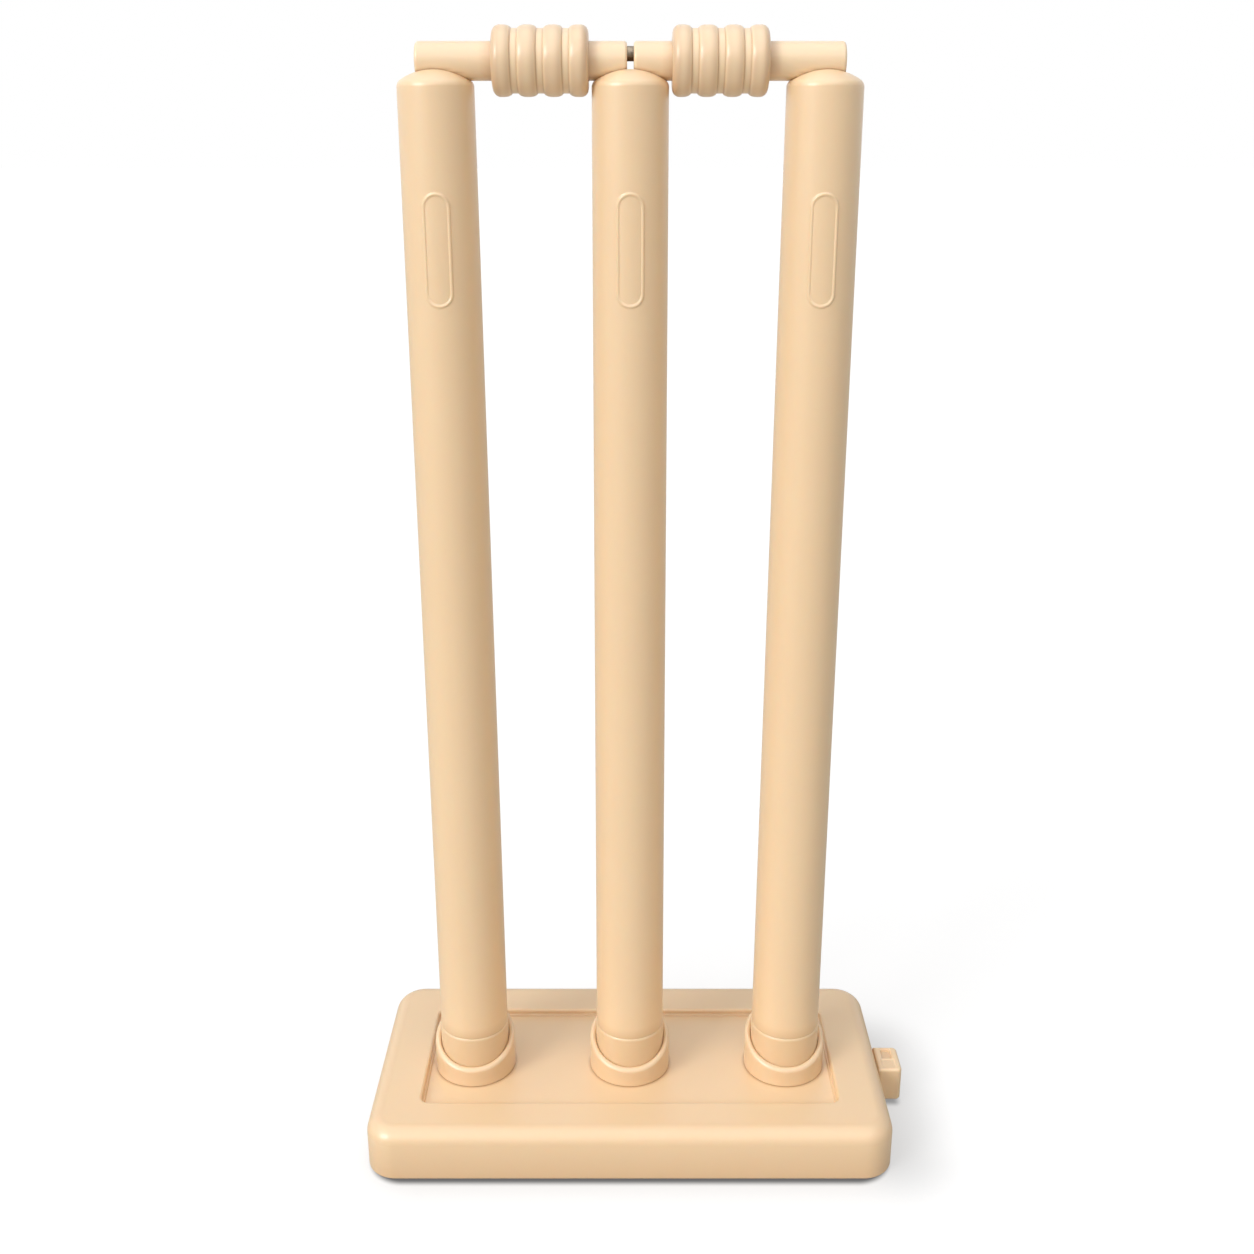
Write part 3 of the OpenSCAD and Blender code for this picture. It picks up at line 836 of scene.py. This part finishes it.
@dataclass(frozen=True)
class CollarSocket:
    """Cup let into the deck, whose collar rises to a sloping rim with a round lip."""

    side: Side
    collar_r: float = 24.3
    cup_r: float = 23.2
    bore_r: float = 20.8
    front_h: float = 11.3
    back_h: float = 31.0
    cup_floor: float = 3.0
    foot_r: float = 0.5
    steps: int = 192

    def make(self, deck_z: float, finishes: Finishes) -> None:
        """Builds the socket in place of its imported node.

        Args:
            deck_z: Height of the deck.
            finishes: The materials.
        """
        box = Extent.of(f"socket_{self.side.tag}")
        centre = box.middle[:2]
        low = box.low[2]
        lip = (self.collar_r - self.bore_r) / 2
        ring = self.bore_r + lip
        # Cross-section as radius and height, where a height above this line counts from the rim
        rim = 1000.0
        flat = path(
            (0.0, low), (self.cup_r, low), (self.cup_r, deck_z), (self.collar_r - self.foot_r, deck_z),
            arc(self.collar_r - self.foot_r, deck_z + self.foot_r, self.foot_r, -90, 0, 5),
        )
        cap = arc(ring, rim - lip, lip, 0, 180, 18)
        floor = path((self.bore_r, low + self.cup_floor), (0.0, low + self.cup_floor))
        rise = np.linspace(0.02, 0.98, 10)
        turns = full_turn(self.steps)
        tilt = (self.back_h - self.front_h) / (2 * self.collar_r)
        mid = deck_z + (self.front_h + self.back_h) / 2

        def rim_at(r: Grid) -> Grid:
            """Height of the sloping rim at each radius and angle: its middle plus the slope times Y."""
            return mid + tilt * r[:, None] * np.sin(turns)

        def rows(r: Grid, z: Grid) -> Grid:
            """Points at fixed heights."""
            return around(r, z, centre, turns)

        lip_r = cap[:, 0]
        lip_z = rim_at(lip_r) + (cap[:, 1] - rim)[:, None]
        outer_top, inner_top = lip_z[0], lip_z[-1]
        outer_r, inner_r = np.full(10, self.collar_r), np.full(10, self.bore_r)
        outer_z = flat[-1, 1] + rise[:, None] * (outer_top - flat[-1, 1])
        inner_z = inner_top + rise[:, None] * (floor[0, 1] - inner_top)
        points = np.concatenate([
            rows(flat[:, 0], flat[:, 1]),
            rows(outer_r, outer_z),
            rows(lip_r, lip_z),
            rows(inner_r, inner_z),
            rows(floor[:, 0], floor[:, 1]),
        ])
        # Painted highlight on the lip and the top of the outer wall
        edge_highlight = np.concatenate([
            np.zeros(len(flat)), rise ** 12 * 0.4, 0.3 + 0.5 * np.sin(np.linspace(0, math.pi, len(cap))),
            np.zeros(10 + len(floor)),
        ])
        # Painted shade at the collar's foot on the deck, and deeper down the bore
        foot_shade = 0.8 * np.clip(1 - np.abs(points[:, :, 2] - deck_z) / 0.8, 0, 1) ** 2
        deep = np.zeros(points.shape[:2])
        start = len(flat) + 10 + len(cap)
        deep[start:] = np.clip((inner_top - points[start:, :, 2]) / 4.0, 0, 1)
        crease_shade = np.maximum(foot_shade, deep)
        piece = build(f"collar_socket_{self.side.tag}", [Patch.grid(points, edge_highlight, crease_shade)], "base",
                      finishes.collar)
        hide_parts(f"socket_{self.side.tag}")


@dataclass(frozen=True)
class Stump:
    """Stump with a domed, grooved top, and the closed boot on its foot."""

    side: Side
    top_r: float = 18.95
    foot_r: float = 20.2
    dome_r: float = 27.5
    shoulder_r: float = 4.0
    groove_r: float = 9.35
    groove_depth: float = 6.75
    groove_round: float = 0.35
    boot_wall: float = 1.9
    boot_floor: float = 3.0
    lip_w: float = 0.9
    lip_h: float = 1.9
    mark_l: float = 54.0
    mark_w: float = 12.5
    mark_line: float = 0.85
    mark_h: float = 0.55
    mark_z: float = 519.0

    @property
    def body(self) -> str:
        """Body that the stump rides on."""
        return f"{self.side.tag}_stump"

    def make(self, finishes: Finishes) -> None:
        """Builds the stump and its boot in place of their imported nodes.

        Args:
            finishes: The materials.
        """
        self._tube(finishes)
        self._boot(finishes)

    def _turns(self) -> Grid:
        """Angles round the stump, closer together across the raised mark in front."""
        half = math.asin((self.mark_w / 2 + 1.5) / self.top_r)
        fine = np.linspace(-half, half, 44)
        coarse = np.linspace(half, 2 * math.pi - half, 150)[1:-1]
        return np.concatenate([fine, coarse]) - math.pi / 2

    def _tube(self, finishes: Finishes) -> None:
        """The stump itself."""
        box, boot = Extent.of(f"stump_{self.side.tag}"), Extent.of(f"boot_{self.side.tag}")
        centre = box.middle[:2]
        boot_top = boot.high[2]
        spigot_r = boot.size[0] / 2 - self.boot_wall - 0.05
        rod = Extent.of("bail_rod_left").middle[2]
        crest = rod + self.groove_depth - self.groove_r
        dome_z = crest - self.dome_r
        reach = self.top_r - self.shoulder_r
        shoulder_z = dome_z + math.sqrt((self.dome_r - self.shoulder_r) ** 2 - reach ** 2)
        lean = math.degrees(math.atan2(shoulder_z - dome_z, reach))

        # Half of the cross-section, from the foot inside the boot up to the axis on top
        seat = path(
            (0.0, box.low[2]), (spigot_r, box.low[2]), (spigot_r, boot_top),
            arc(self.foot_r - 0.3, boot_top + 0.3, 0.3, -90, 0, 3),
        )
        z0, z1 = self.mark_z - self.mark_l / 2 - 1.5, self.mark_z + self.mark_l / 2 + 1.5
        bottom = seat[-1, 1]
        heights = np.concatenate([
            np.linspace(bottom, z0, 60)[1:], np.linspace(z0, z1, 150)[1:-1], np.linspace(z1, shoulder_z, 24)[:-1],
        ])
        taper = self.foot_r + (heights - bottom) / (shoulder_z - bottom) * (self.top_r - self.foot_r)
        shoulder = arc(reach, shoulder_z, self.shoulder_r, 0, lean, 14)
        dome_a = np.radians(np.linspace(lean, 90, 64)[1:])
        dome = np.stack([self.dome_r * np.cos(dome_a), dome_z + self.dome_r * np.sin(dome_a)], axis=1)
        dome[-1, 0] = 0.0
        profile = np.concatenate([seat, np.column_stack([taper, heights]), shoulder, dome])
        edge_highlight, crease_shade = turning(profile, 1.2)
        turns = self._turns()
        points = around(profile[:, 0], profile[:, 1], centre, turns)
        plain = points[..., 2].copy()
        points = self._grooved(points, centre, rod, first=len(seat) + len(heights))
        # Painted shade along the groove's edge and inside it, just above the boot's lip, and in inner corners
        drop = plain - points[..., 2]
        groove_shade = np.clip(drop / 0.3, 0, 1) * (0.25 + 0.65 * np.exp(-drop))
        points = self._marked(points, centre, turns, rows=slice(len(seat), len(seat) + len(heights)))
        boot_rim_shade = np.where(profile[:, 1] > boot_top - 0.5, 0.5 * np.exp(-(profile[:, 1] - boot_top) / 0.6), 0)
        dark = np.maximum(np.maximum(crease_shade, boot_rim_shade)[:, None], groove_shade)
        piece = build(f"domed_stump_{self.side.tag}", [Patch.grid(points, edge_highlight * 0.8, dark)],
                      self.body, finishes.stump)
        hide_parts(f"stump_{self.side.tag}")

    def _grooved(self, points: Grid, centre: Grid, rod_z: float, first: int) -> Grid:
        """Lowers the top to the groove's floor with a soft edge.

        The groove is the underside of a level cylinder along X. The lower of the two heights is
        taken, blended where they are about equal.

        Args:
            points: Grid of the whole stump.
            centre: Where its axis stands.
            rod_z: Height of the groove's own axis.
            first: First row of the shoulder and dome.

        Returns:
            The grid with its groove.
        """
        top = points[first:]
        y = np.clip(np.abs(top[..., 1] - centre[1]), 0, self.groove_r)
        floor = rod_z - np.sqrt(self.groove_r ** 2 - y ** 2)
        k = self.groove_round
        share = np.clip(0.5 + (floor - top[..., 2]) / (2 * k), 0, 1)
        height = floor * (1 - share) + top[..., 2] * share - k * share * (1 - share)
        inside = np.abs(top[..., 1] - centre[1]) < self.groove_r
        points[first:, :, 2] = np.where(inside, np.minimum(height, top[..., 2]), top[..., 2])
        return points

    def _marked(self, points: Grid, centre: Grid, turns: Grid, rows: slice) -> Grid:
        """Raises a plain oblong outline on the front.

        Its height is a bell of the distance from an outline with round ends, measured on the
        unrolled surface.

        Args:
            points: Grid of the whole stump.
            centre: Where its axis stands; not used.
            turns: Angle of each column.
            rows: Rows of the straight side.

        Returns:
            The grid with its mark.
        """
        across = (turns + math.pi / 2) * self.top_r
        up = points[rows, :, 2] - self.mark_z
        r = self.mark_w / 2
        over = np.maximum(np.abs(up) - (self.mark_l / 2 - r), 0)
        away = np.abs(np.hypot(across[None, :], over) - r)
        lift = self.mark_h * np.clip(1 - (away / self.mark_line) ** 2, 0, 1) ** 0.75
        lift = np.where(np.abs(across)[None, :] > r + 2, 0, lift)
        outward = np.stack([np.cos(turns), np.sin(turns)], axis=-1)
        points[rows, :, :2] += lift[..., None] * outward[None]
        return points

    def _boot(self, finishes: Finishes) -> None:
        """The closed boot, with a rounded upper lip."""
        box = Extent.of(f"boot_{self.side.tag}")
        r, low, top = box.size[0] / 2, box.low[2], box.high[2]
        inner = r - self.boot_wall
        lip = arc(0, 0, 1.0, 0, 90, 12) * (self.lip_w, self.lip_h) + (r - self.lip_w, top - self.lip_h)
        profile = path(
            (0.0, low),
            arc(r - 1.0, low + 1.0, 1.0, -90, 0, 6),
            lip,
            (inner, top), (inner, low + self.boot_floor), (0.0, low + self.boot_floor),
        )
        edge_highlight, crease_shade = turning(profile, 0.8)
        turns = full_turn(160)
        points = around(profile[:, 0], profile[:, 1], box.middle[:2], turns)
        piece = build(f"foot_boot_{self.side.tag}", [Patch.grid(points, edge_highlight, crease_shade)], self.body,
                      finishes.boot)
        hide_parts(f"boot_{self.side.tag}")


@dataclass(frozen=True)
class Bail:
    """One bail: a rod drilled off centre for the pin, and the ribbed barrel on it."""

    side: Side
    rod_edge: float = 1.5
    bore_r: float = 3.55
    bore_l: float = 7.75
    rib_n: int = 4
    rib_w: float = 9.3
    rib_h: float = 1.6
    end_r: float = 3.8
    fit: float = 0.05

    @property
    def body(self) -> str:
        """Body that the bail rides on."""
        return f"{self.side.tag}_bail"

    def make(self, finishes: Finishes) -> None:
        """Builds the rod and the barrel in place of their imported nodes.

        Args:
            finishes: The materials.
        """
        self._rod(finishes)
        self._barrel(finishes)

    def _rod(self, finishes: Finishes) -> None:
        """The rod, whose inner end is pierced by the pin's bore."""
        box, barrel = Extent.of(f"bail_rod_{self.side.tag}"), Extent.of(f"bail_barrel_{self.side.tag}")
        pin_z = Extent.of("link_pin").middle[2]
        sign = self.side.value
        axis = box.middle[1:]
        r, e, length = box.size[2] / 2, self.rod_edge, box.size[0]
        start = box.low[0] if sign > 0 else box.high[0]
        profile = path(
            (r - e - 0.2, 0.0), arc(r - e, e, e, -90, 0, 8), arc(r - e, length - e, e, 0, 90, 8), (0.0, length),
            longest=6.0,
        )
        joints = np.abs(np.array([barrel.low[0], barrel.high[0]]) - start)
        edge_highlight, _ = turning(profile, 0.8)
        # Painted shade where the rod meets the barrel's ends
        near = np.min(np.abs(profile[:, 1][:, None] - joints), axis=1)
        joint_shade = np.exp(-near / 0.6) * (profile[:, 0] > r - 0.1)
        turns = full_turn(128)
        points = along_x(profile[:, 0], start + sign * profile[:, 1], axis, turns)
        dark = np.maximum(joint_shade[:, None], self._rest_shade(points, float(axis[1])))
        shell = Patch.grid(points, edge_highlight * 0.8, dark)
        rim = along_x(profile[:1, 0], np.array([start]), axis, turns)[0][:, 1:]
        hole = np.array([axis[0], pin_z]) + self.bore_r * np.stack([np.cos(turns), np.sin(turns)], axis=1)[::2]
        face = Patch.flat(rim, [hole], lambda p: np.column_stack([np.full(len(p), start), p]))
        # The pin's bore, painted darker inside as shade
        depth = path((self.bore_r, 0.0), (self.bore_r, self.bore_l), (0.0, self.bore_l))
        bore = Patch.grid(along_x(depth[:, 0], start + sign * depth[:, 1], np.array([axis[0], pin_z]), turns[::2]),
                          crease_shade=np.full(len(depth), 0.8))
        piece = build(f"bail_spindle_{self.side.tag}", [shell, face, bore], self.body, finishes.bail)
        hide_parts(f"bail_rod_{self.side.tag}")

    @staticmethod
    def _rest_shade(points: Grid, rod_z: float) -> Grid:
        """A thin line of painted shade where the rod meets the domes of the stumps.

        Args:
            points: The rod's surface.
            rod_z: Height of its axis.

        Returns:
            The painted shade, which falls off with the height above or below a dome.
        """
        dark = np.zeros(points.shape[:2])
        dome_z = rod_z + Stump.groove_depth - Stump.groove_r - Stump.dome_r
        for side in Side:
            centre = Extent.of(f"stump_{side.tag}").middle[:2]
            flat = np.hypot(points[..., 0] - centre[0], points[..., 1] - centre[1])
            dome = dome_z + np.sqrt(np.clip(Stump.dome_r ** 2 - flat ** 2, 0, None))
            line = 0.8 * np.exp(-np.abs(points[..., 2] - dome) / 0.6)
            dark = np.maximum(dark, np.where(flat < Stump.top_r, line, 0))
        return dark

    def _barrel(self, finishes: Finishes) -> None:
        """The barrel with its ribs, between two rounded ends."""
        box, rod = Extent.of(f"bail_barrel_{self.side.tag}"), Extent.of(f"bail_rod_{self.side.tag}")
        length, rib_r = box.size[0], box.size[2] / 2
        inner = rod.size[2] / 2 + self.fit
        pitch = (length - self.rib_w) / (self.rib_n - 1)
        x = np.linspace(0, length, 220)
        nearest = np.clip(np.round((x - self.rib_w / 2) / pitch), 0, self.rib_n - 1)
        s = np.clip(np.abs(x - self.rib_w / 2 - nearest * pitch) / (self.rib_w / 2), 0, 1)
        outward = rib_r - self.rib_h + self.rib_h * (1 - s ** 2.6) ** 0.62
        x_in = np.clip(x, self.end_r, length - self.end_r)
        shoulders = np.sqrt(np.clip(self.end_r ** 2 - (x - x_in) ** 2, 0, None)) - self.end_r
        ends = np.abs(x - x_in) > 0
        skin = np.column_stack([np.where(ends, rib_r + shoulders, outward), x])
        profile = path((inner, 0.0), skin, (inner, length))
        edge_highlight, crease_shade = turning(np.column_stack([profile[:, 1], -profile[:, 0]]) * (-1, 1), 1.0)
        # Painted shade at the foot of each rib and at the barrel's ends against the rod
        off_rib = np.abs(profile[:, 1, None] - self.rib_w / 2 - pitch * np.arange(self.rib_n))
        foot_shade = np.exp(-np.abs(off_rib.min(axis=1) - self.rib_w / 2) / 0.35)
        inside = (profile[:, 1] > self.rib_w / 2) & (profile[:, 1] < length - self.rib_w / 2)
        mouth_shade = np.exp(-(profile[:, 0] - inner) / 0.5) * ((profile[:, 1] < 0.1) | (profile[:, 1] > length - 0.1))
        crease_shade = np.maximum(np.maximum(crease_shade, 0.75 * foot_shade * inside), mouth_shade)
        turns = full_turn(160)
        loop = np.concatenate([profile, profile[:1]])
        tints = [np.append(t, t[0]) for t in (edge_highlight, crease_shade)]
        points = along_x(loop[:, 0], box.low[0] + loop[:, 1], box.middle[1:], turns)
        piece = build(f"ribbed_barrel_{self.side.tag}", [Patch.grid(points, *tints)], self.body,
                      finishes.bail)
        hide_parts(f"bail_barrel_{self.side.tag}")


@dataclass(frozen=True)
class LinkPin:
    """Steel pin between the bails, with a chamfer at both ends."""

    chamfer: float = 0.6

    def make(self, finishes: Finishes) -> None:
        """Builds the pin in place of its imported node.

        Args:
            finishes: The materials.
        """
        box = Extent.of("link_pin")
        r, length, c = box.size[2] / 2, box.size[0], self.chamfer
        profile = path((0.0, 0.0), (r - c, 0.0), (r, c), (r, length - c), (r - c, length), (0.0, length), longest=2.0)
        points = along_x(profile[:, 0], box.low[0] + profile[:, 1], box.middle[1:], full_turn(64))
        piece = build("steel_link", [Patch.grid(points)], "link", finishes.steel)
        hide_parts("link_pin")


@dataclass(frozen=True)
class FillerCap:
    """Cap of the filling hole: a rounded block with a finger pocket, on a plug with a groove."""

    edge_r: float = 1.7
    upright_r: float = 3.0
    inner_r: float = 0.8
    block_l: float = 15.0
    plug_r: float = 6.0
    plug_edge: float = 0.8
    groove_in: float = 3.0
    groove_w: float = 1.7
    groove_depth: float = 1.3
    pocket: tuple[float, float, float] = (6.0, 9.0, 1.5)
    dip_w: float = 8.0
    dip_depth: float = 0.5
    dip_edge: float = 2.0
    slope: float = 0.35
    least_r: float = 0.4
    ring_step: float = 0.22
    corner_steps: int = 10
    end_steps: int = 20
    side_steps: int = 40

    def make(self, finishes: Finishes) -> None:
        """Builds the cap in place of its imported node.

        Args:
            finishes: The materials.
        """
        box = Extent.of("filler_cap")
        port = Extent.of("cap_seal").middle[1:]
        patches = [self._block(box), self._plug(box, port)]
        piece = build("pocketed_cap", patches, "filler", finishes.base)
        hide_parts("filler_cap")

    def _block(self, box: Extent) -> Patch:
        """The block, as rings that climb its sides and close in over its top."""
        low = np.array([box.high[0] - self.block_l, box.low[1]])
        half = (box.high[:2] - low) / 2
        centre = low + half
        z0, z1, r = box.low[2], box.high[2], self.edge_r
        inward = np.arange(r + self.ring_step, half[0], self.ring_step)
        under = np.linspace(half[0] - 0.01, r, 8)[:-1]
        profile = np.concatenate([
            np.column_stack([under, np.full(len(under), z0)]),
            arc(r, z0 + r, r, -90, -180, 8),
            np.column_stack([np.zeros(6), np.linspace(z0 + r + 0.2, z1 - r - 0.2, 6)]),
            arc(r, z1 - r, r, 180, 90, 10),
            np.column_stack([inward, np.full(len(inward), z1)]),
            [(half[0] - 0.01, z1)],
        ])
        edge_highlight, _ = turning(profile[:, ::-1] * (1, -1), 0.9)
        rings = []
        for inset, z in profile:
            flat = centre + self._ring(half - inset, inset)
            rings.append(np.column_stack([flat, np.full(len(flat), z)]))
        points = np.stack(rings)
        # Painted shade along the side that meets the base
        crease_shade = 0.7 * np.clip(1 - (points[..., 0] - low[0]) / 2.5, 0, 1)
        top = len(profile) - len(inward) - 1
        sunk = self._sunk(points[top:, :, :2] - centre, float(half[1]))
        points[top:, :, 2] -= sunk
        # Painted shade in the hollows of the top
        crease_shade[top:] = np.maximum(crease_shade[top:], 0.35 * np.clip(sunk / self.pocket[2], 0, 1))
        return Patch.grid(points, np.repeat(edge_highlight[:, None], points.shape[1], axis=1), crease_shade)

    def _ring(self, half: Grid, inset: float) -> Grid:
        """Rounded rectangle about the origin, with wide corners outside and narrow ones at the base.

        Args:
            half: Half its length on X and on Y.
            inset: How far it lies inside the block's outline, by which its corners are narrower.

        Returns:
            The outline, counter-clockwise from its right side.
        """
        corners = []
        signs = ((1, 1, self.upright_r), (-1, 1, self.inner_r), (-1, -1, self.inner_r), (1, -1, self.upright_r))
        for turn, (sx, sy, radius) in enumerate(signs):
            r = min(max(radius - inset, self.least_r), float(half.min()))
            middle = (sx * (half[0] - r), sy * (half[1] - r))
            corners.append(arc(*middle, r, 90 * turn, 90 * turn + 90, self.corner_steps))
        rows = []
        for turn, corner in enumerate(corners):
            step = corners[(turn + 1) % 4][0] - corner[-1]
            share = np.linspace(0, 1, (self.side_steps if turn % 2 else self.end_steps) + 2)[1:-1, None]
            rows += [corner, corner[-1] + step * share]
        return np.concatenate(rows)

    def _sunk(self, place: Grid, half_l: float) -> Grid:
        """How deep the top lies below its own level: two oblong hollows with soft walls.

        Args:
            place: Flat points about the middle of the top.
            half_l: Half the block's length from front to back.

        Returns:
            The depth at each point.
        """
        def hollow(size: tuple[float, float, float], middle_y: float) -> Grid:
            """One hollow: its depth times a smooth step of the distance inside its outline."""
            inside = np.minimum(size[0] / 2 - np.abs(place[..., 0]), size[1] / 2 - np.abs(place[..., 1] - middle_y))
            share = np.clip(inside / (2 * self.slope) + 0.5, 0, 1)
            return size[2] * share * share * (3 - 2 * share)

        dip_l = half_l - 1.5 * self.dip_edge
        dip = hollow((self.dip_w, dip_l, self.dip_depth), self.dip_edge - half_l + dip_l / 2)
        return np.maximum(hollow(self.pocket, self.pocket[1] / 2), dip)

    def _plug(self, box: Extent, port: Grid) -> Patch:
        """The plug, with the groove that holds the O-ring."""
        x0, x1 = box.low[0], box.high[0] - self.block_l + 1.0
        r, e = self.plug_r, self.plug_edge
        g0, g1 = x0 + self.groove_in, x0 + self.groove_in + self.groove_w
        deep = r - self.groove_depth
        profile = path((0.0, x0), (r - e, x0), (r, x0 + e), (r, g0), (deep, g0), (deep, g1), (r, g1), (r, x1), (0.0, x1))
        return Patch.grid(along_x(profile[:, 0], profile[:, 1], port, full_turn(64)))


@dataclass(frozen=True)
class Lamp:
    """One distant soft lamp. Azimuth 0 is in front, plus is to the right, and power is on a facing surface."""

    name: str
    azimuth: float
    height: float
    power: float
    soft: float
    colour: tuple[float, float, float] = (1.0, 1.0, 1.0)

    def make(self) -> None:
        """Adds the lamp."""
        lamp = bpy.data.lights.new(self.name, "SUN")
        lamp.energy = self.power * math.pi
        lamp.angle = math.radians(self.soft)
        lamp.color = self.colour
        holder = bpy.data.objects.new(self.name, lamp)
        a, h = math.radians(self.azimuth), math.radians(self.height)
        towards = Vector((math.sin(a) * math.cos(h), -math.cos(a) * math.cos(h), math.sin(h)))
        holder.rotation_euler = towards.to_track_quat("Z", "Y").to_euler()
        bpy.context.scene.collection.objects.link(holder)

    @property
    def level(self) -> float:
        """Its share of the light on a level surface."""
        return self.power * math.sin(math.radians(self.height))


@dataclass(frozen=True)
class Shade:
    """A painted shadow on the floor round one piece: a rounded rectangle that fades outwards."""

    node: str
    shift: tuple[float, float]
    grow: tuple[float, float]
    corner: float
    fade: tuple[float, float]
    depth: float

    def make(self, t: Tree) -> Socket:
        """Adds the painted shadow to the floor's tree.

        Args:
            t: The tree.

        Returns:
            The share of the floor's brightness that is left.
        """
        box = Extent.of(self.node)
        place = t.place()
        over = []
        for axis, middle, size, grow, move in zip("XY", box.middle, box.size, self.grow, self.shift):
            reach = size / 2 + grow - self.corner
            over.append((abs(t.part(place, axis) - float(middle + move) * MM) - float(reach) * MM).most(0.0))
        away = (over[0] ** 2.0 + over[1] ** 2.0) ** 0.5 - self.corner * MM
        return 1.0 - (1.0 - away.ramp(self.fade[0] * MM, self.fade[1] * MM)) * self.depth


@dataclass(frozen=True)
class Studio:
    """Pale floor, plain light and the photograph's camera."""

    eye: tuple[float, float, float] = (-1.66, -746.66, 578.17)
    pitch: float = 19.485
    focal_px: float = 1420.2
    frame_px: float = 1254.0
    sensor: float = 36.0
    lamps: tuple[Lamp, ...] = (
        Lamp("front", -20.0, 66.0, 0.5, 90.0),
        Lamp("key", -48.0, 25.0, 0.46, 27.0),
    )
    # Painted shadows on the floor next to the base and the cap
    shades: tuple[Shade, ...] = (
        Shade("base_shell", (0.0, -1.0), (-4.0, 0.0), 18.0, (-1.0, 4.7), 0.8),
        Shade("base_shell", (17.0, -4.5), (0.0, -8.0), 18.0, (-14.0, 38.0), 0.26),
        Shade("filler_cap", (0.0, -1.0), (-1.0, 0.0), 3.0, (-3.0, 3.0), 0.5),
    )
    ambient: float = 0.26
    even: tuple[float, float, float] = (1.0, 0.95, 0.86)
    floor_tone: tuple[float, float, float] = (0.62, 0.59, 0.535)
    floor_seen: float = 0.36
    floor_white: float = 1.05

    def make(self) -> None:
        """Adds the camera, the lamps, the world and the floor."""
        bpy.context.scene.view_settings.view_transform = "Standard"
        self._camera()
        for lamp in self.lamps:
            lamp.make()
        self._world()
        self._floor()

    def _camera(self) -> None:
        """The camera, whose focal length comes from the photograph's own pixels."""
        data = bpy.data.cameras.new("camera")
        data.sensor_width = self.sensor
        data.lens = self.focal_px / self.frame_px * self.sensor
        data.clip_start, data.clip_end = 0.01, 50.0
        camera = bpy.data.objects.new("camera", data)
        camera.location = [v * MM for v in self.eye]
        camera.rotation_euler = (math.radians(90 - self.pitch), 0, 0)
        bpy.context.scene.collection.objects.link(camera)
        bpy.context.scene.camera = camera

    def _world(self) -> None:
        """Even light all round, which the camera, gloss and glass see as plain white."""
        world = bpy.data.worlds.new("studio")
        bpy.context.scene.world = world
        t = Tree(world)
        seen = [t.node("ShaderNodeLightPath", out=name) for name in
                ("Is Camera Ray", "Is Glossy Ray", "Is Transmission Ray")]
        white = (seen[0] + seen[1] + seen[2]).ramp(0.0, 1.0, False)
        strength = white * (1.0 - self.ambient) + self.ambient
        colour = t.blend(white, (*self.even, 1.0), (1.0, 1.0, 1.0, 1.0))
        sky = t.node("ShaderNodeBackground", {}, {"Color": colour, "Strength": strength})
        t.finish(sky, "ShaderNodeOutputWorld")

    def _levels(self) -> list[float]:
        """Light on a level surface in each colour: the even part plus each lamp's share."""
        lamps = sum(lamp.level for lamp in self.lamps)
        return [self.ambient * even + lamps for even in self.even]

    def _floor(self) -> None:
        """A wide pale floor that keeps the shadow and looks white to the camera.

        To the camera its colour is a little darker, and a glow brings the unshaded floor just past white.
        Both are darkened by the painted shadows next to the base.
        """
        half = 20.0
        mesh = bpy.data.meshes.new("floor")
        mesh.from_pydata([(-half, -half, 0), (half, -half, 0), (half, half, 0), (-half, half, 0)], [], [(0, 1, 2, 3)])
        floor = bpy.data.objects.new("floor", mesh)
        bpy.context.scene.collection.objects.link(floor)
        material = bpy.data.materials.new("pale_floor")
        t = Tree(material)
        camera = t.node("ShaderNodeLightPath", out="Is Camera Ray")
        open_floor = self.shades[0].make(t)
        for shade in self.shades[1:]:
            open_floor = open_floor * shade.make(t)
        glow = [self.floor_white - self.floor_seen * level for level in self._levels()]
        seen = t.blend(open_floor, (0.0, 0.0, 0.0, 1.0), (*[self.floor_seen] * 3, 1.0))
        shader = t.node("ShaderNodeBsdfPrincipled", {}, {
            "Base Color": t.blend(camera, (*self.floor_tone, 1.0), seen),
            "Roughness": 0.9,
            "Specular IOR Level": 0.0,
            "Emission Color": t.blend(camera * open_floor, (0.0, 0.0, 0.0, 1.0), (*glow, 1.0)),
            "Emission Strength": 1.0,
        })
        t.finish(shader)
        mesh.materials.append(material)


def main() -> None:
    """Builds every piece in order."""
    logging.basicConfig(level=logging.INFO, format="%(message)s")
    row_y = float(Extent.of("stump_middle").middle[1])
    finishes = Finishes.make(row_y)
    Studio().make()
    base = Base()
    base.make(finishes)
    deck_z = float(Extent.of("base_shell").high[2]) - base.step_1 - base.step_2
    for side in Side:
        CollarSocket(side).make(deck_z, finishes)
        Stump(side).make(finishes)
    for side in (Side.LEFT, Side.RIGHT):
        Bail(side).make(finishes)
    LinkPin().make(finishes)
    FillerCap().make(finishes)
    dress("cap_seal", finishes.rubber)


if __name__ == "__main__":
    main()
